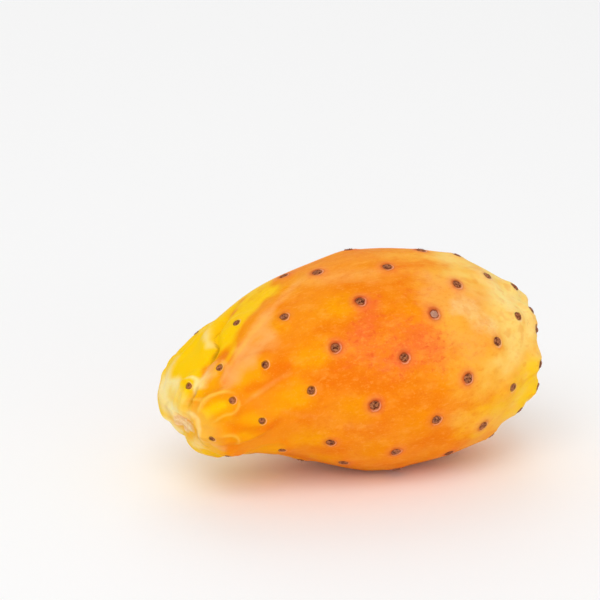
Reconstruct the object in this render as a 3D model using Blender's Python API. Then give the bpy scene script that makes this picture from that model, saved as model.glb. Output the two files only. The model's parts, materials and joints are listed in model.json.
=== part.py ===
"""A ripe prickly pear fruit, picked, lying on its side.

The fruit grew as one body, so it is one object: the rind with its low swellings
and neck folds, the scar where it was cut from the pad, the dished flower scar in
the crown, and the felt cushions (areoles) that stand out of the rind.

Metres, +Z up. The stem end points to -X and the crown to +X. The fruit rests on
the plane z = 0, and the middle of its footprint's box is x = y = 0.
"""
import math
import random

import bmesh
import bpy
import numpy as np
from mathutils import Vector, noise

MM = 0.001

# Stem end to crown rim, measured along the bent middle line.
SKIN_LENGTH = 86.5 * MM
# Where the middle line starts. It puts the middle of the footprint's box at
# x = y = 0, and the level at which the pressed skin rests at z = 0.
STEM_MIDDLE_MM = (-41.700, -5.668, 16.062)

# Half outline, from the middle of the stem scar, over the skin and the crown rim,
# to the middle of the flower scar: distance along the middle line, and radius.
OUTLINE_MM = (
    (1.4, 0.0), (1.1, 2.2), (0.2, 4.2), (0.0, 6.6), (1.3, 9.6), (5.2, 13.0),
    (11.3, 15.3), (19.9, 18.6), (31.2, 22.4), (45.0, 24.9), (58.8, 24.6),
    (69.2, 22.2), (77.0, 18.5), (82.2, 15.2), (85.4, 12.7), (86.5, 11.0),
    (85.6, 9.2), (83.6, 7.2), (82.6, 4.4), (82.3, 0.0),
)
# Shares of that outline: the stem scar ends at the first and the crown's dish
# starts at the second. The skin's relief fades out over a border beside each.
SCAR_SHARE = 0.05
SCAR_BORDER = 0.02
DISH_SHARE = 0.90
DISH_BORDER = 0.04
LEAST_RADIUS = 4.0 * MM

# The middle line droops and swings towards the front at the stem end, and turns
# slightly back at the crown.
STEM_DROOP = math.radians(25.5)
STEM_SWING = math.radians(17.6)
STEM_BEND_ENDS = 0.55
CROWN_LIFT = math.radians(2.7)
CROWN_TURN = math.radians(-11.2)
CROWN_BEND_STARTS = 0.45
BEND_POWER = 1.5
MIDDLE_LINE_STEPS = 240
OUTLINE_SAMPLES = 4000

# Cross-sections: nearly round at the belly, oval and slightly three-cornered at the
# neck. Angles go round the middle line, 0 at the top and 90 degrees at the front.
BELLY_OVAL = 0.024
BELLY_OVAL_AT = math.radians(120)
NECK_OVAL = 0.125
NECK_OVAL_AT = math.radians(75)
NECK_CORNERS = 0.034
NECK_CORNERS_AT = math.radians(84)
NECK_ENDS = 0.5

# The skin mesh: rows lie closer together at the two ends.
SEGMENTS = 56
ROWS = 54
ROW_CROWDING = 0.42

# Areoles follow one spiral. Numbers rise from stem to crown, and each is turned
# from the one before by the golden angle. The rows drift a little on the way.
FIRST_AREOLE = -66
LAST_AREOLE = 49
GOLDEN_ANGLE = -137.508
AREOLE_ZERO_AT = 37.2
DRIFT = 11.8
DRIFT_BACK = -4.9
DRIFT_OVER = 40
# Distance along the fruit, in mm, at a few numbers of the spiral.
AREOLE_GROWTH = (
    (-66, 0.5), (-52, 4.6), (-38, 9.2), (-24, 19.0), (-8, 35.0),
    (8, 51.8), (24, 70.8), (38, 85.4), (52, 88.0),
)
# The front of the neck grew less than its back, which pulls the spiral to the stem
# there and spreads it round the neck: mm along, and degrees around.
NECK_PULL = (2.2, -12.9)
NECK_SPREAD = (2.9, 25.5, 8.7, 3.5)
NECK_PULL_ENDS = 0.6
TOP_PULL = -1.2
TOP_SPREAD = -4.2
# Areoles that grew off the spiral: mm along, and degrees around.
STRAYS = {
    -60: (0.0, -42), -43: (0.0, 10), -42: (1.0, -30), -39: (1.0, -18), -37: (0.4, 5),
    -34: (0.0, 3), -32: (-0.7, 15), -31: (0.0, -24), -29: (-1.5, -4), -27: (0.0, 14),
    -26: (0.4, -1), -24: (0.1, -11), -21: (-0.8, 6), -19: (-1.8, -5), -18: (4.5, 4),
    -16: (2.8, -1), -14: (-1.4, -4), -13: (-2.7, 3), -11: (0.8, 4), -10: (0.0, -14),
    -8: (0.5, 0), -6: (-1.0, -7), -5: (-1.5, 1), -3: (1.5, 1), 0: (-1.1, -1), 2: (1.6, -2),
    5: (-0.4, 0), 7: (-1.4, -8), 8: (-0.9, 0), 10: (0.7, 0), 13: (-0.3, 0), 15: (0.6, -3),
    16: (1.0, 0), 21: (-0.9, 0), 23: (-1.3, -2), 24: (0.4, 16), 26: (0.6, 2),
    28: (-2.2, -9), 29: (0.3, 4), 31: (-1.0, 0), 34: (0.1, 3), 36: (-3.0, 2),
    37: (-0.5, 17), 39: (0.6, 15), 42: (0.6, 9), 44: (0.0, 14),
    47: (-0.3, -3),
}
# No areole stands on the scars, and crowded ones do not form.
FIRST_PLACE = 0.6 * MM
LAST_PLACE = 86.2 * MM
NECK_GAP = 6.6 * MM
CROWN_GAP = 3.6 * MM

# Each areole is a cushion with its root sunk in the skin: radius along the fruit,
# radius around it, height over the skin, which is less at the crown, and depth of
# the root.
AREOLE_RADII = (1.02 * MM, 0.92 * MM)
AREOLE_HEIGHT = 0.56 * MM
AREOLE_HEIGHT_AT_CROWN = 0.38 * MM
AREOLE_ROOT = 1.3 * MM
AREOLE_SIZE_AT_STEM = 0.64
AREOLE_FULL_SIZE_AT = 36 * MM
AREOLE_SIZE_SPREAD = 0.08
AREOLE_SIDES = 7
AREOLE_ROWS = 4
AREOLE_SEED = 5

# The rind swells below each areole: height at the stem, the belly and the crown,
# and reach towards the stem, towards the crown and sideways. Where two swellings
# meet, a shallow valley is left between them.
SWELLING_AT_STEM = 1.15 * MM
SWELLING_AT_BELLY = 0.34 * MM
SWELLING_AT_CROWN = 1.15 * MM
SWELLING_STEMWARD = 4.2 * MM
SWELLING_CROWNWARD = 2.5 * MM
SWELLING_SIDEWAYS = 2.9 * MM
NECK_REACH = 3.6 * MM
CROWN_REACH = -1.5 * MM
NECK_RELIEF_ENDS = 30 * MM
CROWN_RELIEF_STARTS = 62 * MM
CROWN_RELIEF_FULL_AT = 84 * MM
MEETING_SHARPNESS = 4

# On the neck a low ridge rings each swelling: how far its middle lies below the
# areole, its half length and half width, its height and its breadth.
RING_BELOW = 3.3 * MM
RING_HALF_LENGTH = 5.8 * MM
RING_HALF_WIDTH = 3.3 * MM
RING_HEIGHT = 0.38 * MM
RING_BREADTH = 0.24
RING_FADES_FROM = 12 * MM
RING_GONE_AT = 27 * MM

# The skin sinks between the swellings as much as they rise, so the fruit keeps its
# girth: how deep at the stem and at the crown.
SINK_AT_STEM = 0.45 * MM
SINK_AT_CROWN = 0.42 * MM

# Larger folds. Each has its height in mm, which is below zero for a groove, its half
# width in mm, and places: mm over the skin from the middle of the stem scar, and
# degrees around.
FOLDS = (
    (-1.1, 1.2, ((33, -22), (28.5, -14), (24.8, -5), (23.2, 5), (21.5, 15), (19.5, 21))),
    (-0.7, 1.3, ((20.5, 18), (17.7, 25), (15.4, 27), (13.1, 30))),
    (0.8, 1.7, ((29, -28), (25.1, -19), (22.6, -10), (21.4, 2))),
    (0.9, 2.0, ((43, -8), (38.2, 10), (33.4, 15), (29.8, 21), (27.2, 26), (24.2, 32), (20.5, 44))),
    (-0.8, 0.9, ((12.6, 28), (10.8, 32), (8.3, 32), (6.8, 34))),
    (0.55, 0.9, ((9.0, 52), (11.7, 48), (14.2, 49), (16.4, 52), (18.0, 57), (18.3, 62), (17.6, 68))),
    (0.5, 0.9, ((17.6, 68), (16.3, 71), (14.4, 72), (12.0, 70), (9.2, 69))),
    (0.4, 1.2, ((33.0, 65), (29.7, 66), (26.7, 67), (22.3, 69), (18.5, 71))),
    (0.4, 1.0, ((10.5, 84), (12.0, 87), (13.6, 90), (14.4, 95), (14.5, 101), (13.7, 106))),
    (0.4, 1.0, ((8.5, 45), (6.9, 62), (6.4, 75), (7.2, 85), (8.3, 92), (8.0, 105))),
    (-1.2, 1.7, ((6.4, 214), (8.4, 217), (10.4, 214), (13.1, 208))),
    (-0.5, 1.1, ((7.0, 100), (8.4, 122), (9.6, 132))),
    (-0.8, 1.3, ((25.2, -58), (20.0, -70), (15.0, -74), (10.4, -80))),
    (0.6, 1.6, ((32.8, -98), (25.2, -108), (17.8, -112), (12.0, -116))),
    (-0.7, 1.2, ((23.1, -150), (17.8, -146), (12.7, -150), (8.9, -156))),
    (-1.7, 3.2, ((26.0, 160), (20.5, 157), (16.0, 152), (12.5, 146))),
    (0.4, 2.4, ((23.0, -36), (19.5, -38), (16.0, -42))),
    (-1.0, 1.3, ((2.4, -118), (4.9, -132), (8.0, -138))),
    (-0.6, 1.6, ((7.4, 152), (9.2, 147), (11.0, 142))),
    (-0.5, 2.2, ((10.5, -52), (13.3, -44), (16.0, -38))),
    (0.6, 2.0, ((10.5, -58), (9.0, -66), (7.0, -84), (6.3, -100))),
    (-0.7, 1.8, ((99.0, 28), (99.3, 18), (99.5, 8), (99.5, -6))),
)
FOLD_SAMPLES = 9
FOLD_TAPER = 0.6

# The rim of the crown waves in and out, and the whole skin is slightly lumpy.
RIM_WAVES = 8
RIM_WAVE_HEIGHT = 0.35 * MM
RIM_WAVE_REACH = 4.0 * MM
RIM_WAVES_FROM = 6.0 * MM
LUMP_HEIGHT = 0.45 * MM
LUMP_SIZE = 17 * MM

# The slab below z = 0 that takes off what the fruit's weight presses flat.
SLAB_WIDTH = 150 * MM
SLAB_THICKNESS = 20 * MM

RIND_COLOUR = (0.90, 0.30, 0.02, 1.0)
RIND_ROUGHNESS = 0.42
AREOLE_COLOUR = (0.10, 0.045, 0.03, 1.0)
AREOLE_ROUGHNESS = 0.9


def remove_everything():
    """Start from an empty scene."""
    for old in list(bpy.data.objects):
        bpy.data.objects.remove(old)


def new_collection(name):
    """A collection that is linked to the scene."""
    made = bpy.data.collections.new(name)
    bpy.context.scene.collection.children.link(made)
    return made


def new_material(name, colour, roughness):
    """A plain Principled BSDF material."""
    made = bpy.data.materials.new(name)
    made.use_nodes = True
    shader = made.node_tree.nodes["Principled BSDF"]
    shader.inputs["Base Color"].default_value = colour
    shader.inputs["Roughness"].default_value = roughness
    shader.inputs["Metallic"].default_value = 0.0
    made.diffuse_color = colour
    return made


def unit(vectors):
    """Vectors scaled to length 1."""
    return vectors / np.linalg.norm(vectors, axis=-1, keepdims=True)


# The middle line: where it runs and which way it points, at even steps.
steps = np.linspace(0.0, SKIN_LENGTH, MIDDLE_LINE_STEPS + 1)
stem_bend = np.clip(1 - steps / SKIN_LENGTH / STEM_BEND_ENDS, 0, 1) ** BEND_POWER
crown_part = (steps / SKIN_LENGTH - CROWN_BEND_STARTS) / (1 - CROWN_BEND_STARTS)
crown_bend = np.clip(crown_part, 0, 1) ** BEND_POWER
pitch = STEM_DROOP * stem_bend + CROWN_LIFT * crown_bend
swing = STEM_SWING * stem_bend + CROWN_TURN * crown_bend
heading = unit(np.stack([np.cos(pitch) * np.cos(swing), np.sin(swing), np.sin(pitch)], -1))
strides = (heading[1:] + heading[:-1]) / 2 * (steps[1] - steps[0])
middle_line = np.concatenate([np.zeros((1, 3)), np.cumsum(strides, axis=0)])
middle_line = middle_line + np.array(STEM_MIDDLE_MM) * MM

# The half outline as a smooth curve, and its length measured along its points.
outline = np.array(OUTLINE_MM) * MM
outline_length = np.concatenate([[0], np.cumsum(np.linalg.norm(np.diff(outline, axis=0), axis=1))])
outline_slope = np.gradient(outline, outline_length, axis=0)


def outline_at(share):
    """Distance along the middle line, and radius, at a share of the half outline."""
    reach = np.asarray(share) * outline_length[-1]
    start = np.clip(np.searchsorted(outline_length, reach, side="right") - 1, 0, len(outline) - 2)
    span = outline_length[start + 1] - outline_length[start]
    part = ((reach - outline_length[start]) / span)[..., None]
    span = span[..., None]
    point = (2 * part**3 - 3 * part**2 + 1) * outline[start]
    point = point + (3 * part**2 - 2 * part**3) * outline[start + 1]
    point = point + (part**3 - 2 * part**2 + part) * span * outline_slope[start]
    point = point + (part**3 - part**2) * span * outline_slope[start + 1]
    return point[..., 0], np.maximum(point[..., 1], 0.0)


def smooth_skin(share, around):
    """Points of the skin before any relief is raised on it."""
    share, around = np.broadcast_arrays(np.asarray(share, float), np.asarray(around, float))
    along, radius = outline_at(share)
    centre = np.stack([np.interp(along, steps, middle_line[:, axis]) for axis in range(3)], -1)
    ahead = unit(np.stack([np.interp(along, steps, heading[:, axis]) for axis in range(3)], -1))
    front = unit(np.cross(ahead, (0.0, 0.0, 1.0)))
    upward = np.cross(front, ahead)
    neck = np.clip(1 - along / SKIN_LENGTH / NECK_ENDS, 0, 1)
    wider = 1 + BELLY_OVAL * np.cos(2 * (around - BELLY_OVAL_AT))
    wider = wider + neck * NECK_OVAL * np.cos(2 * (around - NECK_OVAL_AT))
    wider = wider + neck * NECK_CORNERS * np.cos(3 * (around - NECK_CORNERS_AT))
    out = np.cos(around)[..., None] * upward + np.sin(around)[..., None] * front
    return centre + (radius * wider)[..., None] * out


def skin_axes(share, around):
    """At places of the skin: crownward, sideways and outward unit vectors."""
    near = 0.001
    share = np.clip(share, 2 * near, 1 - 2 * near)
    crownward = smooth_skin(share + near, around) - smooth_skin(share - near, around)
    sideways = smooth_skin(share, around + near) - smooth_skin(share, around - near)
    outward = unit(np.cross(sideways, crownward))
    return unit(crownward), unit(sideways), outward


outline_shares = np.linspace(SCAR_SHARE, 1, OUTLINE_SAMPLES)
outline_along = outline_at(outline_shares)[0]
flank_shares = outline_shares[: outline_along.argmax() + 1]
flank_along = np.maximum.accumulate(outline_along[: len(flank_shares)])


def share_on_flank(along):
    """Share of the half outline where the outer skin is this far along the fruit."""
    return np.interp(along, flank_along, flank_shares)


def spiral_place(number):
    """Where the spiral puts an areole: metres along the fruit and radians around it."""
    numbers, growth = zip(*AREOLE_GROWTH)
    grown = float(np.interp(number, numbers, growth))
    late = number / DRIFT_OVER
    turned = AREOLE_ZERO_AT + GOLDEN_ANGLE * number + DRIFT * late + DRIFT_BACK * late**2
    angle = math.radians(turned)
    top, front = math.cos(angle), math.sin(angle)
    neck = max(0.0, 1 - grown * MM / SKIN_LENGTH / NECK_PULL_ENDS)
    along = grown + neck * (NECK_PULL[0] * top + NECK_PULL[1] * front) + TOP_PULL * top
    spread = NECK_SPREAD[0] * top + NECK_SPREAD[1] * front
    spread += NECK_SPREAD[2] * math.cos(2 * angle) + NECK_SPREAD[3] * math.sin(2 * angle)
    around = turned + TOP_SPREAD * top + neck * spread
    stray = STRAYS.get(number, (0.0, 0.0))
    return (along + stray[0]) * MM, math.radians(around + stray[1])


def areole_places():
    """All areoles, from the crown to the stem, without the crowded ones."""
    kept = []
    points = []
    for number in range(LAST_AREOLE, FIRST_AREOLE - 1, -1):
        along, around = spiral_place(number)
        if along < FIRST_PLACE:
            continue
        along = min(along, LAST_PLACE)
        point = smooth_skin(share_on_flank(along), around)
        gap = NECK_GAP if number < 0 else CROWN_GAP
        if points and np.linalg.norm(np.array(points) - point, axis=1).min() < gap:
            continue
        kept.append((along, around))
        points.append(point)
    return kept


def neck_and_crown(along):
    """How much a place belongs to the neck, and to the crown."""
    neck = np.clip(1 - along / NECK_RELIEF_ENDS, 0, 1)
    crown = (along - CROWN_RELIEF_STARTS) / (CROWN_RELIEF_FULL_AT - CROWN_RELIEF_STARTS)
    return neck, np.clip(crown, 0, 1)


def swellings(along, around, radius, places):
    """Height of the rind's swellings, and of the ridges that ring them on the neck."""
    swollen = np.zeros_like(along)
    ringed = np.zeros_like(along)
    for place_along, place_around in places:
        neck, crown = neck_and_crown(place_along)
        swell = SWELLING_AT_BELLY + neck * (SWELLING_AT_STEM - SWELLING_AT_BELLY)
        swell += crown * (SWELLING_AT_CROWN - SWELLING_AT_BELLY)
        turn = (around - place_around + math.pi) % (2 * math.pi) - math.pi
        sideways = turn * radius
        ahead = along - place_along
        stemward = SWELLING_STEMWARD + neck * NECK_REACH + crown * CROWN_REACH
        reach = np.where(ahead < 0, stemward, SWELLING_CROWNWARD)
        bump = swell * np.exp(-((ahead / reach) ** 2) - (sideways / SWELLING_SIDEWAYS) ** 2)
        swollen += bump**MEETING_SHARPNESS
        fade = np.clip((RING_GONE_AT - place_along) / (RING_GONE_AT - RING_FADES_FROM), 0, 1)
        ring = np.hypot((ahead + RING_BELOW) / RING_HALF_LENGTH, sideways / RING_HALF_WIDTH)
        ridge = fade * RING_HEIGHT * np.exp(-(((ring - 1) / RING_BREADTH) ** 2))
        ringed += ridge**MEETING_SHARPNESS
    neck, crown = neck_and_crown(along)
    height = swollen ** (1 / MEETING_SHARPNESS) + ringed ** (1 / MEETING_SHARPNESS)
    return height - neck * SINK_AT_STEM - crown * SINK_AT_CROWN


def smooth_path(places):
    """A path on the skin through a few places, each mm over the skin and degrees around."""
    knots = np.array(places, float)
    last = len(knots) - 1
    position = np.linspace(0, last, last * FOLD_SAMPLES + 1)
    start = np.clip(position.astype(int), 0, last - 1)
    part = (position - start)[:, None]
    slope = np.gradient(knots, axis=0)
    path = (2 * part**3 - 3 * part**2 + 1) * knots[start]
    path += (3 * part**2 - 2 * part**3) * knots[start + 1]
    path += (part**3 - 2 * part**2 + part) * slope[start]
    path += (part**3 - part**2) * slope[start + 1]
    return smooth_skin(path[:, 0] * MM / outline_length[-1], np.radians(path[:, 1]))


def folds(points):
    """Height of the larger folds and grooves at points of the skin."""
    height = np.zeros(len(points))
    for rise, half_width, places in FOLDS:
        path = smooth_path(places)
        distances = np.linalg.norm(points[:, None] - path[None], axis=2)
        nearest = distances.argmin(axis=1)
        taper = np.sin(math.pi * (nearest + 1) / (len(path) + 1)) ** FOLD_TAPER
        distance = distances.min(axis=1)
        height += rise * MM * taper * np.exp(-((distance / (half_width * MM)) ** 2))
    return height


def lumps(points):
    """Height of the slight unevenness of the whole fruit."""
    places = (points - middle_line[0]) / LUMP_SIZE
    return np.array([noise.noise(Vector(place)) for place in places]) * LUMP_HEIGHT


def relief(share, around, places):
    """Height of everything that stands out of, or dips into, the smooth skin."""
    along, radius = outline_at(share)
    points = smooth_skin(share, around)
    on_skin = np.clip((share - SCAR_SHARE) / SCAR_BORDER + 1, 0, 1)
    on_skin *= np.clip((DISH_SHARE - share) / DISH_BORDER, 0, 1)
    height = on_skin * swellings(along, around, np.maximum(radius, LEAST_RADIUS), places)
    height += folds(points)
    height += lumps(points)
    rim = np.exp(-(((SKIN_LENGTH - along) / RIM_WAVE_REACH) ** 2))
    rim *= np.clip((radius - RIM_WAVES_FROM) / RIM_WAVE_REACH, 0, 1)
    height += RIM_WAVE_HEIGHT * rim * np.cos(RIM_WAVES * around)
    return height


def make_skin(name, materials, places):
    """The rind, from a UV sphere whose rows and segments are moved onto the fruit."""
    sphere = bmesh.new()
    bmesh.ops.create_uvsphere(sphere, u_segments=SEGMENTS, v_segments=ROWS, radius=1.0)
    rows = [round(math.acos(max(-1.0, min(1.0, v.co.z))) / math.pi * ROWS) for v in sphere.verts]
    level = np.array(rows) / ROWS
    share = level - ROW_CROWDING / (2 * math.pi) * np.sin(2 * math.pi * level)
    around = np.array([math.atan2(v.co.y, v.co.x) for v in sphere.verts])
    outward = skin_axes(share, around)[2]
    raised = smooth_skin(share, around) + relief(share, around, places)[:, None] * outward
    for vertex, point in zip(sphere.verts, raised):
        vertex.co = point
    bmesh.ops.recalc_face_normals(sphere, faces=sphere.faces)
    mesh = bpy.data.meshes.new(name)
    sphere.to_mesh(mesh)
    sphere.free()
    for material in materials:
        mesh.materials.append(material)
    return bpy.data.objects.new(name, mesh)


def make_areole(name, materials, place, places, draw):
    """One felt cushion, standing square to the skin."""
    along, around = place
    share = share_on_flank(along)
    crownward, sideways, outward = skin_axes(share, around)
    height = relief(np.array([share]), np.array([around]), places)[0]
    centre = smooth_skin(share, around) + height * outward
    grown = min(1.0, along / AREOLE_FULL_SIZE_AT)
    size = AREOLE_SIZE_AT_STEM + (1 - AREOLE_SIZE_AT_STEM) * grown
    size *= 1 + draw.uniform(-AREOLE_SIZE_SPREAD, AREOLE_SIZE_SPREAD)
    lower = neck_and_crown(along)[1] * (AREOLE_HEIGHT - AREOLE_HEIGHT_AT_CROWN)
    cushion = bmesh.new()
    bmesh.ops.create_uvsphere(cushion, u_segments=AREOLE_SIDES, v_segments=AREOLE_ROWS, radius=1.0)
    for vertex in cushion.verts:
        depth = AREOLE_HEIGHT - lower if vertex.co.z > 0 else AREOLE_ROOT
        ahead = vertex.co.x * AREOLE_RADII[0] * size
        beside = vertex.co.y * AREOLE_RADII[1] * size
        point = centre + ahead * crownward + beside * sideways + vertex.co.z * depth * outward
        vertex.co = point
    bmesh.ops.recalc_face_normals(cushion, faces=cushion.faces)
    mesh = bpy.data.meshes.new(name)
    cushion.to_mesh(mesh)
    cushion.free()
    for material in materials:
        mesh.materials.append(material)
    for face in mesh.polygons:
        face.material_index = 1
    return bpy.data.objects.new(name, mesh)


def join_areoles(fruit, cushions):
    """Fuse all areoles of a collection with the rind, and remove the loose ones."""
    union = fruit.modifiers.new("areoles", "BOOLEAN")
    union.operation = "UNION"
    union.operand_type = "COLLECTION"
    union.collection = cushions
    union.solver = "EXACT"
    bpy.context.view_layer.update()
    dressed = fruit.evaluated_get(bpy.context.evaluated_depsgraph_get())
    joined = bpy.data.meshes.new_from_object(dressed)
    fruit.modifiers.clear()
    fruit.data = joined
    for cushion in list(cushions.objects):
        bpy.data.objects.remove(cushion)
    bpy.data.collections.remove(cushions)


def press_flat_spot(fruit, cutters):
    """Take off the little that lies below z = 0, which leaves a flat spot."""
    block = bmesh.new()
    bmesh.ops.create_cube(block, size=1.0)
    bmesh.ops.scale(block, vec=(SLAB_WIDTH, SLAB_WIDTH, SLAB_THICKNESS), verts=block.verts)
    bmesh.ops.translate(block, vec=(0, 0, -SLAB_THICKNESS / 2), verts=block.verts)
    mesh = bpy.data.meshes.new("resting_plane")
    block.to_mesh(mesh)
    block.free()
    slab = bpy.data.objects.new("resting_plane", mesh)
    slab.hide_render = True
    slab.display_type = "WIRE"
    cutters.objects.link(slab)
    cut = fruit.modifiers.new("flat_spot", "BOOLEAN")
    cut.operation = "DIFFERENCE"
    cut.solver = "EXACT"
    cut.object = slab


remove_everything()
fruit_parts = new_collection("prickly_pear_fruit")
cutters = new_collection("cutters")
loose_areoles = new_collection("areoles")

rind = new_material("rind", RIND_COLOUR, RIND_ROUGHNESS)
felt = new_material("areole_felt", AREOLE_COLOUR, AREOLE_ROUGHNESS)

places = areole_places()
fruit = make_skin("fruit", (rind, felt), places)
fruit_parts.objects.link(fruit)

draw = random.Random(AREOLE_SEED)
for count, place in enumerate(places):
    loose_areoles.objects.link(make_areole(f"areole_{count}", (rind, felt), place, places, draw))

join_areoles(fruit, loose_areoles)
fruit.data.shade_smooth()
press_flat_spot(fruit, cutters)
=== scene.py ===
import json
import math
import random

import bmesh
import bpy
import numpy as np
from mathutils import Matrix, Vector, noise

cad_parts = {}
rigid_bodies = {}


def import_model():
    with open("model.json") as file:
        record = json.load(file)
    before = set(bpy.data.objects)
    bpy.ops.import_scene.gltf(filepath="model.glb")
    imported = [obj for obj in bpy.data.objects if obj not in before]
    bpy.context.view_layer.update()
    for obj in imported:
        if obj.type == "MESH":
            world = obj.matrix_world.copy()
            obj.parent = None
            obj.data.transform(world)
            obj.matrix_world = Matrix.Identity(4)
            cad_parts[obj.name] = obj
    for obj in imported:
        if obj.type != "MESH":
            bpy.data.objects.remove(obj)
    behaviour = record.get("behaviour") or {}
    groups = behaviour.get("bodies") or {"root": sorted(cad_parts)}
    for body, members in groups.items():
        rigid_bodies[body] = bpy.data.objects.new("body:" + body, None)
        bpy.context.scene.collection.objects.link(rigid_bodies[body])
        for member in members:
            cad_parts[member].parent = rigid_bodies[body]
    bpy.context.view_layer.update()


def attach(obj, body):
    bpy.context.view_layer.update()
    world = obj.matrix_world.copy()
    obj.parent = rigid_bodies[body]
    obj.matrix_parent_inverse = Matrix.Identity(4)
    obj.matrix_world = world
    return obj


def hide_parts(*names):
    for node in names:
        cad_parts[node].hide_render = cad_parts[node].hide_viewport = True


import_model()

# The rind
#
# The skin of a ripe prickly pear: smooth, waxy and soft, golden orange with a red
# flush, lemon yellow and creased at the neck and pale at the crown. It grew as one
# skin, low swellings and all, down into the stem scar and the flower scar.
MM = 0.001
SKIN_LENGTH = 86.5 * MM
STEM_MIDDLE_MM = (-41.700, -5.668, 16.062)
OUTLINE_MM = (
    (1.4, 0.0), (1.1, 2.2), (0.2, 4.2), (0.0, 6.6), (1.3, 9.6), (5.2, 13.0),
    (11.3, 15.3), (19.9, 18.6), (31.2, 22.4), (45.0, 24.9), (58.8, 24.6),
    (69.2, 22.2), (77.0, 18.5), (82.2, 15.2), (85.4, 12.7), (86.5, 11.0),
    (85.6, 9.2), (83.6, 7.2), (82.6, 4.4), (82.3, 0.0),
)
SCAR_SHARE = 0.05
SCAR_BORDER = 0.02
DISH_SHARE = 0.90
DISH_BORDER = 0.04
LEAST_RADIUS = 4.0 * MM
STEM_DROOP = math.radians(25.5)
STEM_SWING = math.radians(17.6)
STEM_BEND_ENDS = 0.55
CROWN_LIFT = math.radians(2.7)
CROWN_TURN = math.radians(-11.2)
CROWN_BEND_STARTS = 0.45
BEND_POWER = 1.5
MIDDLE_LINE_STEPS = 240
OUTLINE_SAMPLES = 4000
SMALL_STEP = 0.001
BELLY_OVAL = 0.024
BELLY_OVAL_AT = math.radians(120)
NECK_OVAL = 0.125
NECK_OVAL_AT = math.radians(75)
NECK_CORNERS = 0.034
NECK_CORNERS_AT = math.radians(84)
NECK_ENDS = 0.5
SKIN_SEGMENTS = 320
SKIN_ROWS = 300
ROW_CROWDING = 0.42
# Skin pressed by the fruit's weight stays this far off the floor, above its areoles.
SKIN_OFF_FLOOR = 0.02 * MM

# Where the areoles grow: one spiral, numbered from the belly to both ends, with mm along
# the fruit for some of the numbers. The neck's bend pulls it along and spreads it around,
# by the top and the front. Single areoles stray from it, by mm along and degrees around.
FIRST_AREOLE = -66
LAST_AREOLE = 49
GOLDEN_ANGLE = -137.508
AREOLE_ZERO_AT = 37.2
DRIFT = 11.8
DRIFT_BACK = -4.9
DRIFT_OVER = 40
AREOLE_GROWTH = (
    (-66, 0.5), (-52, 4.6), (-38, 9.2), (-24, 19.0), (-8, 35.0),
    (8, 51.8), (24, 70.8), (38, 85.4), (52, 88.0),
)
NECK_PULL = (2.2, -12.9)
NECK_SPREAD = (2.9, 25.5, 8.7, 3.5)
NECK_PULL_ENDS = 0.6
TOP_PULL = -1.2
TOP_SPREAD = -4.2
STRAYS = {
    -60: (0, -42), -43: (0, 10), -42: (1, -30), -39: (1, -18), -37: (0.4, 5),
    -34: (0, 3), -32: (-0.7, 15), -31: (0, -24), -29: (-1.5, -4), -27: (0, 14),
    -26: (0.4, -1), -24: (0.1, -11), -21: (-0.8, 6), -19: (-1.8, -5), -18: (4.5, 4),
    -16: (2.8, -1), -14: (-1.4, -4), -13: (-2.7, 3), -11: (0.8, 4), -10: (0, -14),
    -8: (0.5, 0), -6: (-1, -7), -5: (-1.5, 1), -3: (1.5, 1), 0: (-1.1, -1), 2: (1.6, -2),
    5: (-0.4, 0), 7: (-1.4, -8), 8: (-0.9, 0), 10: (0.7, 0), 13: (-0.3, 0), 15: (0.6, -3),
    16: (1, 0), 21: (-0.9, 0), 23: (-1.3, -2), 24: (0.4, 16), 26: (0.6, 2),
    28: (-2.2, -9), 29: (0.3, 4), 31: (-1, 0), 34: (0.1, 3), 36: (-3, 2),
    37: (-0.5, 17), 39: (0.6, 15), 42: (0.6, 9), 44: (0, 14), 47: (-0.3, -3),
}
FIRST_PLACE = 0.6 * MM
LAST_PLACE = 86.2 * MM
NECK_GAP = 6.6 * MM
CROWN_GAP = 3.6 * MM

# The skin's swellings, the ridges that ring them on the neck, and the folds. A fold
# has its height in mm, its half width in mm, and places: mm over the skin from the
# middle of the stem scar, and degrees around the fruit, 0 at the top.
SWELLING_AT_STEM = 1.15 * MM
SWELLING_AT_BELLY = 0.34 * MM
SWELLING_AT_CROWN = 1.15 * MM
SWELLING_STEMWARD = 4.2 * MM
SWELLING_CROWNWARD = 2.5 * MM
SWELLING_SIDEWAYS = 2.9 * MM
NECK_REACH = 3.6 * MM
CROWN_REACH = -1.5 * MM
NECK_RELIEF_ENDS = 30 * MM
CROWN_RELIEF_STARTS = 62 * MM
CROWN_RELIEF_FULL_AT = 84 * MM
MEETING_SHARPNESS = 4
RING_BELOW = 3.3 * MM
RING_HALF_LENGTH = 5.8 * MM
RING_HALF_WIDTH = 3.3 * MM
RING_HEIGHT = 0.38 * MM
RING_BREADTH = 0.24
RING_FADES_FROM = 12 * MM
RING_GONE_AT = 27 * MM
SINK_AT_STEM = 0.45 * MM
SINK_AT_CROWN = 0.42 * MM
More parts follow.
